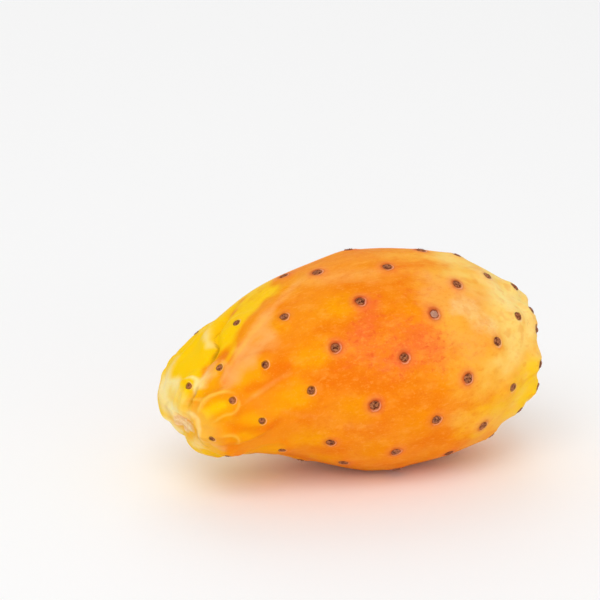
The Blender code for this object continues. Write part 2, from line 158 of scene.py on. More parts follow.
FOLDS = (
    (-1.1, 1.2, ((33, -22), (28.5, -14), (24.8, -5), (23.2, 5), (21.5, 15), (19.5, 21))),
    (-0.7, 1.3, ((20.5, 18), (17.7, 25), (15.4, 27), (13.1, 30))),
    (0.8, 1.7, ((29, -28), (25.1, -19), (22.6, -10), (21.4, 2))),
    (0.9, 2.0, ((43, -8), (38.2, 10), (33.4, 15), (29.8, 21), (27.2, 26), (24.2, 32), (20.5, 44))),
    (-0.8, 0.9, ((12.6, 28), (10.8, 32), (8.3, 32), (6.8, 34))),
    (0.55, 0.9, ((9, 52), (11.7, 48), (14.2, 49), (16.4, 52), (18, 57), (18.3, 62), (17.6, 68))),
    (0.5, 0.9, ((17.6, 68), (16.3, 71), (14.4, 72), (12, 70), (9.2, 69))),
    (0.4, 1.2, ((33, 65), (29.7, 66), (26.7, 67), (22.3, 69), (18.5, 71))),
    (0.4, 1.0, ((10.5, 84), (12, 87), (13.6, 90), (14.4, 95), (14.5, 101), (13.7, 106))),
    (0.4, 1.0, ((8.5, 45), (6.9, 62), (6.4, 75), (7.2, 85), (8.3, 92), (8, 105))),
    (-1.2, 1.7, ((6.4, 214), (8.4, 217), (10.4, 214), (13.1, 208))),
    (-0.5, 1.1, ((7, 100), (8.4, 122), (9.6, 132))),
    (-0.8, 1.3, ((25.2, -58), (20, -70), (15, -74), (10.4, -80))),
    (0.6, 1.6, ((32.8, -98), (25.2, -108), (17.8, -112), (12, -116))),
    (-0.7, 1.2, ((23.1, -150), (17.8, -146), (12.7, -150), (8.9, -156))),
    (-1.7, 3.2, ((26, 160), (20.5, 157), (16, 152), (12.5, 146))),
    (0.4, 2.4, ((23, -36), (19.5, -38), (16, -42))),
    (-1.0, 1.3, ((2.4, -118), (4.9, -132), (8, -138))),
    (-0.6, 1.6, ((7.4, 152), (9.2, 147), (11, 142))),
    (-0.5, 2.2, ((10.5, -52), (13.3, -44), (16, -38))),
    (0.6, 2.0, ((10.5, -58), (9, -66), (7, -84), (6.3, -100))),
    (-0.7, 1.8, ((99, 28), (99.3, 18), (99.5, 8), (99.5, -6))),
)
PATH_SAMPLES = 16
FOLD_TAPER = 0.6
FOLD_REACH = 3
RIM_WAVES = 8
RIM_WAVE_HEIGHT = 0.35 * MM
RIM_WAVE_REACH = 4.0 * MM
RIM_WAVES_FROM = 6.0 * MM
LUMP_HEIGHT = 0.45 * MM
LUMP_SIZE = 17 * MM


def unit(vectors):
    """Vectors scaled to length 1."""
    return vectors / np.linalg.norm(vectors, axis=-1, keepdims=True)


steps = np.linspace(0.0, SKIN_LENGTH, MIDDLE_LINE_STEPS + 1)
stem_bend = np.clip(1 - steps / SKIN_LENGTH / STEM_BEND_ENDS, 0, 1) ** BEND_POWER
crown_part = (steps / SKIN_LENGTH - CROWN_BEND_STARTS) / (1 - CROWN_BEND_STARTS)
crown_bend = np.clip(crown_part, 0, 1) ** BEND_POWER
pitch = STEM_DROOP * stem_bend + CROWN_LIFT * crown_bend
swing = STEM_SWING * stem_bend + CROWN_TURN * crown_bend
heading = unit(np.stack([np.cos(pitch) * np.cos(swing), np.sin(swing), np.sin(pitch)], -1))
strides = (heading[1:] + heading[:-1]) / 2 * (steps[1] - steps[0])
middle_line = np.concatenate([np.zeros((1, 3)), np.cumsum(strides, axis=0)])
middle_line = middle_line + np.array(STEM_MIDDLE_MM) * MM
outline = np.array(OUTLINE_MM) * MM
outline_length = np.concatenate([[0], np.cumsum(np.linalg.norm(np.diff(outline, axis=0), axis=1))])
outline_slope = np.gradient(outline, outline_length, axis=0)


def smooth_step(part, start, end, leave, arrive):
    """The way from start to end, by part, with a slope given at each."""
    point = (2 * part**3 - 3 * part**2 + 1) * start + (3 * part**2 - 2 * part**3) * end
    return point + (part**3 - 2 * part**2 + part) * leave + (part**3 - part**2) * arrive


def outline_at(share):
    """Distance along the middle line, and radius, at a share of the half outline."""
    reach = np.asarray(share) * outline_length[-1]
    start = np.clip(np.searchsorted(outline_length, reach, side="right") - 1, 0, len(outline) - 2)
    span = outline_length[start + 1] - outline_length[start]
    part = ((reach - outline_length[start]) / span)[..., None]
    slope = span[..., None] * outline_slope[start]
    next_slope = span[..., None] * outline_slope[start + 1]
    point = smooth_step(part, outline[start], outline[start + 1], slope, next_slope)
    return point[..., 0], np.maximum(point[..., 1], 0.0)


def smooth_skin(share, around):
    """Points of the skin before any relief is raised on it."""
    share, around = np.broadcast_arrays(np.asarray(share, float), np.asarray(around, float))
    along, radius = outline_at(share)
    centre = np.stack([np.interp(along, steps, middle_line[:, axis]) for axis in range(3)], -1)
    ahead = unit(np.stack([np.interp(along, steps, heading[:, axis]) for axis in range(3)], -1))
    front = unit(np.cross(ahead, (0.0, 0.0, 1.0)))
    upward = np.cross(front, ahead)
    neck = np.clip(1 - along / SKIN_LENGTH / NECK_ENDS, 0, 1)
    wider = 1 + BELLY_OVAL * np.cos(2 * (around - BELLY_OVAL_AT))
    wider = wider + neck * NECK_OVAL * np.cos(2 * (around - NECK_OVAL_AT))
    wider = wider + neck * NECK_CORNERS * np.cos(3 * (around - NECK_CORNERS_AT))
    out = np.cos(around)[..., None] * upward + np.sin(around)[..., None] * front
    return centre + (radius * wider)[..., None] * out


def skin_axes(share, around):
    """At places of the skin: crownward, sideways and outward unit vectors."""
    share = np.clip(share, 2 * SMALL_STEP, 1 - 2 * SMALL_STEP)
    crownward = smooth_skin(share + SMALL_STEP, around) - smooth_skin(share - SMALL_STEP, around)
    sideways = smooth_skin(share, around + SMALL_STEP) - smooth_skin(share, around - SMALL_STEP)
    outward = unit(np.cross(sideways, crownward))
    return unit(crownward), unit(sideways), outward


outline_shares = np.linspace(SCAR_SHARE, 1, OUTLINE_SAMPLES)
outline_along = outline_at(outline_shares)[0]
flank_shares = outline_shares[: outline_along.argmax() + 1]
flank_along = np.maximum.accumulate(outline_along[: len(flank_shares)])


def share_on_flank(along):
    """Share of the half outline where the outer skin is this far along the fruit."""
    return np.interp(along, flank_along, flank_shares)


def spiral_place(number):
    """Where the spiral puts an areole: metres along the fruit and radians around it."""
    numbers, growth = zip(*AREOLE_GROWTH)
    grown = float(np.interp(number, numbers, growth))
    late = number / DRIFT_OVER
    turned = AREOLE_ZERO_AT + GOLDEN_ANGLE * number + DRIFT * late + DRIFT_BACK * late**2
    angle = math.radians(turned)
    top, front = math.cos(angle), math.sin(angle)
    neck = max(0.0, 1 - grown * MM / SKIN_LENGTH / NECK_PULL_ENDS)
    along = grown + neck * (NECK_PULL[0] * top + NECK_PULL[1] * front) + TOP_PULL * top
    spread = NECK_SPREAD[0] * top + NECK_SPREAD[1] * front
    spread += NECK_SPREAD[2] * math.cos(2 * angle) + NECK_SPREAD[3] * math.sin(2 * angle)
    around = turned + TOP_SPREAD * top + neck * spread
    stray = STRAYS.get(number, (0.0, 0.0))
    return (along + stray[0]) * MM, math.radians(around + stray[1])


def areole_places():
    """All areoles, from the crown to the stem, without the crowded ones."""
    kept = []
    points = []
    for number in range(LAST_AREOLE, FIRST_AREOLE - 1, -1):
        along, around = spiral_place(number)
        if along < FIRST_PLACE:
            continue
        along = min(along, LAST_PLACE)
        point = smooth_skin(share_on_flank(along), around)
        gap = NECK_GAP if number < 0 else CROWN_GAP
        if points and np.linalg.norm(np.array(points) - point, axis=1).min() < gap:
            continue
        kept.append((along, around))
        points.append(point)
    return kept


places = areole_places()


def neck_and_crown(along):
    """How much a place belongs to the neck, and to the crown."""
    neck = np.clip(1 - along / NECK_RELIEF_ENDS, 0, 1)
    crown = (along - CROWN_RELIEF_STARTS) / (CROWN_RELIEF_FULL_AT - CROWN_RELIEF_STARTS)
    return neck, np.clip(crown, 0, 1)


def from_areole(along, around, radius, place):
    """Metres ahead of one areole, towards the crown, and sideways from it."""
    turn = (around - place[1] + math.pi) % (2 * math.pi) - math.pi
    return along - place[0], turn * radius


def swellings(along, around, radius):
    """Height of the rind's swellings, and of the ridges that ring them on the neck."""
    swollen = np.zeros_like(along)
    ringed = np.zeros_like(along)
    for place in places:
        neck, crown = neck_and_crown(place[0])
        swell = SWELLING_AT_BELLY + neck * (SWELLING_AT_STEM - SWELLING_AT_BELLY)
        swell += crown * (SWELLING_AT_CROWN - SWELLING_AT_BELLY)
        ahead, sideways = from_areole(along, around, radius, place)
        stemward = SWELLING_STEMWARD + neck * NECK_REACH + crown * CROWN_REACH
        reach = np.where(ahead < 0, stemward, SWELLING_CROWNWARD)
        bump = swell * np.exp(-((ahead / reach) ** 2) - (sideways / SWELLING_SIDEWAYS) ** 2)
        swollen += bump**MEETING_SHARPNESS
        fade = np.clip((RING_GONE_AT - place[0]) / (RING_GONE_AT - RING_FADES_FROM), 0, 1)
        ring = np.hypot((ahead + RING_BELOW) / RING_HALF_LENGTH, sideways / RING_HALF_WIDTH)
        ridge = fade * RING_HEIGHT * np.exp(-(((ring - 1) / RING_BREADTH) ** 2))
        ringed += ridge**MEETING_SHARPNESS
    neck, crown = neck_and_crown(along)
    height = swollen ** (1 / MEETING_SHARPNESS) + ringed ** (1 / MEETING_SHARPNESS)
    return height - neck * SINK_AT_STEM - crown * SINK_AT_CROWN


def smooth_path(stations):
    """A path on the skin through a few places, each mm over the skin and degrees around."""
    knots = np.array(stations, float)
    last = len(knots) - 1
    position = np.linspace(0, last, last * PATH_SAMPLES + 1)
    start = np.clip(position.astype(int), 0, last - 1)
    part = (position - start)[:, None]
    slope = np.gradient(knots, axis=0)
    path = smooth_step(part, knots[start], knots[start + 1], slope[start], slope[start + 1])
    return smooth_skin(path[:, 0] * MM / outline_length[-1], np.radians(path[:, 1]))


def near_path(points, stations, reach):
    """Points within reach of a path, how far off it they are, and how far along it."""
    path = smooth_path(stations)
    inside = (points > path.min(axis=0) - reach) & (points < path.max(axis=0) + reach)
    rows = np.flatnonzero(inside.all(axis=1))
    distances = np.linalg.norm(points[rows, None] - path[None], axis=2)
    part = (distances.argmin(axis=1) + 1) / (len(path) + 1)
    return rows, distances.min(axis=1), part


def fold_height(points, made):
    """Height of a list of soft folds and grooves at points of the skin."""
    height = np.zeros(len(points))
    for rise, half_width, stations in made:
        rows, off, part = near_path(points, stations, FOLD_REACH * half_width * MM)
        taper = np.sin(math.pi * part) ** FOLD_TAPER
        height[rows] += rise * MM * taper * np.exp(-((off / (half_width * MM)) ** 2))
    return height


def crease_height(points, made):
    """Height of a list of sharp creases with a soft bank on either side."""
    height = np.zeros(len(points))
    for depth, half_width, stations in made:
        rows, off, part = near_path(points, stations, CREASE_REACH * half_width * MM)
        taper = np.sin(math.pi * part) ** FOLD_TAPER
        off = off / (half_width * MM)
        bank = CREASE_BANK * np.exp(-(((off - CREASE_BANK_AT) / CREASE_BANK_BREADTH) ** 2))
        height[rows] += depth * MM * taper * (bank - np.exp(-off))
    return height


def grain(points, size, stretch=(1.0, 1.0, 1.0)):
    """Smooth noise from -1 to 1 with lumps of one size, drawn out along an axis."""
    placed = (points - middle_line[0]) / (np.array(stretch) * size)
    return np.array([noise.noise(Vector(place)) for place in placed])


def main_relief(share, around):
    """The relief that the solid has too: swellings, folds, lumps and the waved rim."""
    along, radius = outline_at(share)
    points = smooth_skin(share, around)
    on_skin = np.clip((share - SCAR_SHARE) / SCAR_BORDER + 1, 0, 1)
    on_skin *= np.clip((DISH_SHARE - share) / DISH_BORDER, 0, 1)
    height = on_skin * swellings(along, around, np.maximum(radius, LEAST_RADIUS))
    height += fold_height(points, FOLDS)
    height += grain(points, LUMP_SIZE) * LUMP_HEIGHT
    rim = np.exp(-(((SKIN_LENGTH - along) / RIM_WAVE_REACH) ** 2))
    rim *= np.clip((radius - RIM_WAVES_FROM) / RIM_WAVE_REACH, 0, 1)
    height += RIM_WAVE_HEIGHT * rim * np.cos(RIM_WAVES * around)
    return height


# Finer relief: each areole sits in a shallow socket with a soft lip, and the neck
# has thin ridges, sharp creases and small wrinkles.
AREOLE_REACH = 5.0 * MM
AREOLE_SIZE_AT_STEM = 0.64
AREOLE_FULL_SIZE_AT = 36 * MM
SOCKET_DEPTH = 0.22 * MM
SOCKET_RADIUS = 1.0 * MM
LIP_HEIGHT = 0.10 * MM
LIP_RADIUS = 1.55 * MM
LIP_BREADTH = 0.45 * MM
THIN_RIDGES = (
    (0.45, 0.6, ((11.4, -40), (11.9, -19), (12.6, 0), (13.7, 12), (14.8, 19), (14.5, 24), (12.6, 30))),
    (0.45, 0.65, ((20.6, 28), (21, 31), (20.8, 37), (19.9, 42), (18.4, 44), (16.4, 45))),
    (0.45, 0.9, ((20.5, 26), (19.3, 25), (17.7, 25), (16.2, 28), (14.5, 31))),
    (0.45, 0.5, ((8.4, 54), (9.6, 51), (11.2, 49), (13, 48), (15.2, 51), (17.1, 55), (18.5, 60))),
    (0.4, 0.45, ((18.5, 60), (18.4, 66), (17.2, 71), (15.7, 72), (13.7, 70), (11.2, 71), (9.2, 69))),
    (0.4, 0.5, ((8.6, 32), (10.2, 30), (11.2, 38), (12.1, 47))),
    (0.45, 0.6, ((6.4, 44), (6.9, 56), (6.7, 68), (6.8, 80), (7.6, 90))),
    (0.45, 0.5, ((6, -20), (4.4, -40), (3.2, -60), (2.6, -80))),
    (0.4, 0.5, ((9, 88), (10.5, 87), (13, 89), (14.4, 94), (14.5, 101), (13.7, 106))),
    (0.25, 0.6, ((33, 65), (29.7, 66), (26.7, 67), (22.3, 69), (18.5, 71))),
    (0.35, 0.5, ((8.7, 134), (10, 126), (12.5, 120), (15, 114))),
    (0.35, 0.6, ((13, -60), (15.5, -52), (18.5, -50), (20, -58))),
    (0.35, 0.6, ((11, -98), (14.5, -92), (17.5, -94), (19, -102))),
    (0.35, 0.6, ((9.5, -128), (13, -124), (16.5, -126), (18, -134))),
    (0.35, 0.6, ((9, 176), (12, 182), (15.5, 182), (17.5, 176))),
)
CREASES = (
    (0.45, 0.45, ((32.1, -25), (29.5, -18), (27.5, -13), (25.1, -9), (24.1, -6), (23.4, -1), (23.1, 4))),
    (0.5, 0.42, ((23.3, 1), (22.9, 8), (22, 11), (21.1, 14), (19.9, 17), (18.6, 21))),
    (0.2, 0.8, ((19.9, 17), (18.6, 21), (17.1, 22), (14.9, 24))),
    (0.3, 0.42, ((14.6, 28), (13, 32), (11.4, 32), (9.6, 33), (7.4, 35))),
    (0.1, 0.5, ((7.9, 92), (7.6, 104), (8, 116), (8.1, 128))),
    (0.22, 0.8, ((7.2, -28), (6.2, -50), (5, -75), (4.6, -105), (4.6, -140))),
    (0.18, 0.45, ((4.4, 121), (5.8, 116), (7.4, 126), (8.4, 132))),
    (0.2, 0.4, ((6.3, 22), (6.5, 36), (6.3, 50), (5.6, 64))),
    (0.35, 0.45, ((26, -56), (21, -68), (16, -73), (11, -80))),
    (0.35, 0.45, ((24, -151), (18, -146), (13, -150), (9, -156))),
    (0.35, 0.45, ((22, 162), (16, 166), (11, 167))),
)
CREASE_REACH = 6
CREASE_BANK = 0.35
CREASE_BANK_AT = 2.2
CREASE_BANK_BREADTH = 1.3
WRINKLE_HEIGHT = 0.14 * MM
WRINKLE_SIZE = 2.6 * MM
WRINKLE_STRETCH = (2.2, 1.0, 1.0)
WRINKLES_END = 24 * MM
SKIN_GRAIN_HEIGHT = 0.03 * MM
SKIN_GRAIN_SIZE = 2.0 * MM

# The stem scar is torn tissue that dried in soft folds, a little to one side of the
# stem end's middle. The flower scar in the crown is a dish with low rings and rays.
SCAR_MIDDLE = (-0.3 * MM, -1.35 * MM)
SCAR_GRAIN = (-0.52, 0.85)
SCAR_RADIUS = 3.0 * MM
SCAR_LENGTHENED = 1.15
EDGE_NOTCH = 0.35 * MM
SCAR_NOTCHES = ((5, 1.0, 1), (9, 0.6, 2))
DISH_NOTCHES = ((7, 1.0, 0), (11, 1.0, 1))
SCAR_EDGE = 0.7 * MM
SCAR_RISE = 0.45 * MM
SCAR_FOLD_HEIGHT = 0.14 * MM
SCAR_FOLD_GAP = 2.3 * MM
SCAR_FOLD_WANDER = 1.6
SCAR_CRUMPLE_HEIGHT = 0.06 * MM
SCAR_CRUMPLE_SIZE = 0.9 * MM
DISH_RADIUS = 10.0 * MM
DISH_EDGE = 1.6 * MM
DISH_RAYS = 26
DISH_WANDER = 5.0
DISH_RAY_WANDER_SIZE = 6 * MM
DISH_RING_WANDER_SIZE = 4 * MM
DISH_RAY_HEIGHT = 0.22 * MM
DISH_RING_GAP = 1.9 * MM
DISH_RING_HEIGHT = 0.16 * MM
BOSS_RADIUS = 1.9 * MM
BOSS_HEIGHT = 0.9 * MM


def scar_place(share, around):
    """Places round the stem scar's middle: along the scar's folds and across them."""
    reach = share * outline_length[-1]
    top = reach * np.cos(around) - SCAR_MIDDLE[0]
    front = reach * np.sin(around) - SCAR_MIDDLE[1]
    lengthwise = top * SCAR_GRAIN[0] + front * SCAR_GRAIN[1]
    across = top * SCAR_GRAIN[1] - front * SCAR_GRAIN[0]
    return lengthwise, across


def ragged_edge(turn, notches):
    """How far an edge stands out at an angle. A notch's numbers: count, depth and start."""
    return EDGE_NOTCH * sum(depth * np.sin(count * turn + start) for count, depth, start in notches)


def scar_and_dish(share, around):
    """How much a place lies in the stem scar, and in the crown's dish."""
    lengthwise, across = scar_place(share, around)
    ragged = ragged_edge(np.arctan2(across, lengthwise), SCAR_NOTCHES)
    away = np.hypot(lengthwise / SCAR_LENGTHENED, across * SCAR_LENGTHENED)
    scar = np.clip((SCAR_RADIUS + ragged - away) / SCAR_EDGE, 0, 1)
    radius = outline_at(share)[1]
    dish = DISH_RADIUS + ragged_edge(around, DISH_NOTCHES) - radius
    dish = np.clip(dish / DISH_EDGE, 0, 1)
    return scar, dish * (share > DISH_SHARE - DISH_BORDER)


def scar_folds(share, around, points):
    """The soft folds of the stem scar, from -1 in the furrows to 1 on the ridges."""
    wander = SCAR_FOLD_WANDER * grain(points, 2 * SCAR_FOLD_GAP)
    return np.cos(2 * math.pi * scar_place(share, around)[1] / SCAR_FOLD_GAP + wander)


def dish_rays(share, around, points):
    """The fine rays of the flower scar's outer half, from -1 in the furrows to 1."""
    rays = np.cos(DISH_RAYS * around + DISH_WANDER * grain(points, DISH_RAY_WANDER_SIZE))
    return rays * np.clip(2 * outline_at(share)[1] / DISH_RADIUS - 1, 0, 1)


def dish_rings(share, points):
    """The low rings of the flower scar's inner half, from -1 in the furrows to 1."""
    radius = outline_at(share)[1]
    wander = DISH_WANDER * grain(points, DISH_RING_WANDER_SIZE)
    rings = np.cos(2 * math.pi * radius / DISH_RING_GAP + wander)
    return rings * np.clip(2 - 2 * radius / DISH_RADIUS, 0, 1)


def areole_size(along):
    """How large an areole is against a full one: smaller at the stem end."""
    grown = min(1.0, along / AREOLE_FULL_SIZE_AT)
    return AREOLE_SIZE_AT_STEM + (1 - AREOLE_SIZE_AT_STEM) * grown


def areole_seat(place):
    """Where one areole sits on the smooth skin, the axes there, and its size."""
    along, around = place
    share = share_on_flank(along)
    crownward, sideways, _ = skin_axes(share, around)
    return smooth_skin(share, around), crownward, sideways, areole_size(along)


seats = [areole_seat(place) for place in places]


def round_areole(points, seat):
    """Points near one areole: which they are, how far ahead and beside it, and away."""
    centre, crownward, sideways, size = seat
    rows = np.flatnonzero((np.abs(points - centre) < AREOLE_REACH).all(axis=1))
    offset = (points[rows] - centre) / size
    return rows, offset @ crownward, offset @ sideways, np.linalg.norm(offset, axis=1)


def fine_relief(share, around):
    """The relief that is too fine for the solid."""
    along, radius = outline_at(share)
    points = smooth_skin(share, around)
    socket = np.zeros(len(share))
    for seat in seats:
        rows, _, _, away = round_areole(points, seat)
        socket[rows] -= SOCKET_DEPTH * np.exp(-((away / SOCKET_RADIUS) ** 2))
        socket[rows] += LIP_HEIGHT * np.exp(-(((away - LIP_RADIUS) / LIP_BREADTH) ** 2))
    height = socket * (share < DISH_SHARE)
    height += fold_height(points, THIN_RIDGES)
    height += crease_height(points, CREASES)
    neck = np.clip(1 - along / WRINKLES_END, 0, 1)
    height += neck * WRINKLE_HEIGHT * grain(points, WRINKLE_SIZE, WRINKLE_STRETCH)
    height += SKIN_GRAIN_HEIGHT * grain(points, SKIN_GRAIN_SIZE)
    scar, dish = scar_and_dish(share, around)
    height += scar * (SCAR_RISE + SCAR_FOLD_HEIGHT * scar_folds(share, around, points))
    height += scar * SCAR_CRUMPLE_HEIGHT * grain(points, SCAR_CRUMPLE_SIZE)
    height += dish * DISH_RAY_HEIGHT * dish_rays(share, around, points)
    height += dish * DISH_RING_HEIGHT * dish_rings(share, points)
    height += dish * BOSS_HEIGHT * np.exp(-((radius / BOSS_RADIUS) ** 2))
    return height


def skin_point(along, around):
    """A finished point of the outer skin with its axes, for what stands on it."""
    share = np.array([share_on_flank(along)])
    turn = np.array([around])
    crownward, sideways, outward = skin_axes(share, turn)
    height = main_relief(share, turn) + fine_relief(share, turn)
    point = smooth_skin(share, turn) + height[:, None] * outward
    return point[0], crownward[0], sideways[0], outward[0]


# The colours of ripening, with painted highlights and painted shade, each laid on as strokes:
# strength, half width in mm, and places. They fade at their ends, their width wavers,
# and noise frays their edges.
PAINTS = {}
# Deep orange: partly the skin's own deeper orange, partly painted shade in the grooves beside the ridges
# and between the swellings.
PAINTS["deep"] = (
    (0.35, 1.3, ((31, 9), (29.2, 15), (27.2, 19), (25.5, 21), (23.7, 24), (21.8, 28))),
    (0.7, 0.9, ((22, 38), (20.9, 42), (19.3, 46), (17.1, 48))),
    (0.7, 1.8, ((25.5, 56), (27.3, 58), (30.7, 60), (34, 63))),
    (0.7, 2.6, ((37, 70), (41.3, 77), (46, 71))),
    (0.5, 1.6, ((21.5, 95), (24.5, 94), (27.5, 92))),
    (0.6, 2.2, ((30, 124), (38.9, 126), (46, 124))),
    (0.6, 4, ((41, 64), (47, 75), (55, 82), (64, 80))),
    (0.6, 2.8, ((41, 108), (48, 108), (56, 110))),
    (0.7, 1.8, ((11.5, 80), (16, 88), (20, 94), (27, 98))),
    (0.7, 1.6, ((19, 62), (23, 63), (26, 66), (31, 62))),
    (0.5, 0.7, ((17.6, 34), (15.4, 38))),
    (0.6, 3, ((58, 13), (66, 15), (74, 16), (81, 14))),
    (0.5, 2.2, ((57, 34), (54, 43), (52, 52), (49, 60))),
    (0.6, 4, ((38, 74), (44, 74), (50, 80), (56, 84))),
    (0.5, 1.8, ((14.6, 75), (17.3, 74), (19.8, 76), (23.5, 79))),
)
PAINTS["flush"] = (
    (0.3, 8, ((46, 50), (54, 57), (62, 62), (72, 68))),
    (0.55, 2.8, ((57, 32), (54, 42), (51.7, 50), (46, 56))),
    (0.25, 4.5, ((58, 62), (66, 65), (72, 70), (78, 74))),
    (0.7, 1.4, ((53.5, 45), (51.7, 51), (49, 56))),
    (0.3, 4, ((60, 36), (66, 30), (73, 22))),
    (0.4, 3.5, ((60.5, 58), (65, 64), (69, 74))),
    (0.4, 5.5, ((54, 72), (63, 68), (72, 72))),
    (0.5, 5, ((47, 66), (54, 72), (62, 76))),
    (0.45, 3.5, ((42, 56), (50, 66))),
    (0.5, 9, ((46, -55), (62, -85), (76, -102))),
    (0.45, 8, ((40, -122), (60, -143))),
    (0.45, 9, ((48, 177), (70, 163))),
)
# Peach: partly the skin's own colour, partly painted highlights along the ridges and folds.
PAINTS["peach_and_highlight"] = (
    (0.6, 1.3, ((45, 0), (40.5, 9), (36.6, 16), (32, 23))),
    (0.8, 1.8, ((36.6, 16), (32.6, 23), (28.8, 28), (26.4, 32), (23.6, 37))),
    (0.8, 2, ((34, 33), (30, 37), (26.5, 41), (23.5, 50))),
    (0.6, 1.5, ((26, 34), (23.9, 37), (20.9, 46), (18.4, 51), (15.6, 51))),
    (0.45, 1, ((34.5, 65), (29.7, 66), (26.7, 67), (22.3, 69), (17, 71))),
    (0.35, 1.4, ((38, 98), (32, 94), (25, 84))),
    (0.45, 2.2, ((30, 32), (32.5, 41), (29.5, 48))),
    (0.35, 1.6, ((40, 105), (55, 106))),
    (0.3, 2.6, ((50, 69), (57, 79))),
    (0.6, 0.9, ((20.6, 28), (21, 31), (20.8, 37), (19.9, 42), (18.4, 44), (16.4, 45))),
    (0.6, 1.3, ((21.5, 27), (19.3, 25), (17.7, 25), (16.2, 28), (13.8, 32))),
    (0.5, 4.5, ((64, 38), (73, 44), (84, 50))),
    (0.55, 4.6, ((42, 0), (46, 8), (52, 15), (58, 19), (65, 21))),
    (0.55, 4.6, ((66, 26), (73, 30), (80, 34), (90, 40))),
    (0.45, 5, ((70, 62), (76, 68), (84, 74))),
    (0.5, 5, ((68, 104), (76, 112), (84, 122), (91, 132))),
    (0.5, 2.2, ((19, 48), (21.5, 45), (24.5, 40), (28, 33))),
    (0.6, 1.2, ((20, 22), (18.3, 26), (16, 30))),
    (0.45, 6, ((55, -16), (80, -44))),
    (0.75, 1.4, ((7.4, 101), (8.9, 105), (10.4, 112), (12.2, 118))),
)
PAINTS["lemon"] = (
    (1.0, 6, ((2, -30), (10, -12), (17, -14), (28, -44))),
    (1.0, 3.2, ((7.5, 0), (12, 8), (16, 8), (20.5, -2), (24, -20))),
    (1.0, 3, ((21.5, 18), (25, 10), (28.8, 0), (34.2, -12), (42, -26))),
    (1.0, 5, ((22, -40), (30, -36), (40, -34), (48, -34))),
    (1.0, 6, ((5, -58), (12, -55), (20, -54), (30, -56))),
    (1.0, 8, ((4, -80), (16, -80), (34, -90))),
    (0.9, 8, ((4, -140), (16, -140), (30, -142))),
    (0.6, 6, ((4, 172), (18, 170))),
    (0.55, 7, ((22, -84), (36, -86), (52, -90))),
    (0.55, 8, ((16, -112), (30, -116), (46, -120))),
    (0.55, 8, ((16, -146), (30, -150), (44, -154))),
    (0.5, 7, ((14, 176), (26, 174), (38, 170))),
    (0.7, 1.8, ((9, 60), (12, 60), (17, 63))),
    (1.0, 2.2, ((32, -24), (26.5, -14), (24, -5), (22.5, 4), (20.5, 12))),
    (0.9, 1.9, ((26.5, 12), (29.3, 9), (32.5, 3), (36.5, -2), (42, -6))),
    (0.35, 2.5, ((36, 4), (42, 2), (52, 6))),
    (0.55, 1.3, ((26.5, 24), (23.3, 30), (21, 34), (18, 30))),
    (0.55, 6, ((66, 110), (76, 110), (86, 110), (96, 111), (104, 112))),
    (0.5, 4, ((72, 124), (82, 126), (91, 130), (99, 136), (108, 142))),
    (0.6, 4.5, ((93, 82), (98, 94), (100, 108), (100.5, 124), (99, 146))),
)
# Pale lines along the thin ridges of the neck: painted highlights on them.
PAINTS["line"] = (
    (0.85, 0.55, ((7.4, 58), (9.6, 51), (11.2, 49), (13, 48), (15.2, 51), (17.1, 55), (19.5, 63))),
    (0.65, 0.5, ((18, 58), (18.4, 66), (17.2, 71), (15.7, 72), (13.7, 70), (11.2, 71), (8.2, 69))),
    (0.75, 0.5, ((7.6, 33), (10.2, 30), (11.2, 38), (13.1, 51))),
    (0.6, 0.9, ((38.5, 13), (32.6, 22), (28.8, 27), (26.4, 31), (23.9, 34), (21.5, 39), (19.5, 43))),
    (0.65, 0.55, ((9, 86), (13, 89), (14.4, 94), (14.5, 101), (13, 108))),
)
# Cream: the pale skin round the stem end and at the crown, and painted highlights on the neck's ridges
# and banks.
PAINTS["cream_and_highlight"] = (
    (0.65, 0.55, ((13, 4), (14.3, 14), (14.8, 20), (14.5, 25), (12.4, 31), (10.6, 32))),
    (0.45, 0.8, ((18.4, 24), (16.6, 27), (14.8, 30), (13, 34))),
    (0.85, 3.4, ((2.5, -20), (6.5, -34), (10.5, -42), (16.5, -52))),
    (0.7, 1.3, ((11, -56), (11.5, -34), (12.2, -12), (13, 6))),
    (0.45, 2.5, ((8.5, -36), (14, -30), (19.5, -31))),
    (0.55, 4.5, ((72, 42), (80, 50), (90, 62))),
    (0.5, 4.5, ((82, 0), (86, 12), (93, 34), (99, 52), (103, 80))),
    (0.62, 1.9, ((25.4, -24), (23.9, -16), (22.9, -8), (22.2, 0), (21.2, 8))),
    (0.4, 1.6, ((23, -33), (25, -27), (27.5, -22))),
    (0.6, 0.9, ((6.6, 34), (7.6, 46), (7.8, 58), (7.2, 70), (6.8, 82), (7.2, 94))),
    (0.45, 2.6, ((9.3, 34), (9.9, 18), (10.8, -4), (10.9, -26))),
    (0.45, 1.6, ((19.6, 38), (17.4, 34), (15.4, 34), (13.4, 39))),
    (0.9, 0.8, ((7, -10), (5, -32), (3.4, -55), (2, -85))),
    (0.6, 1.8, ((3.6, -150), (6, 160), (8, 146), (12.5, 136))),
    (0.8, 3, ((6, -80), (7, -110), (7, -145))),
)
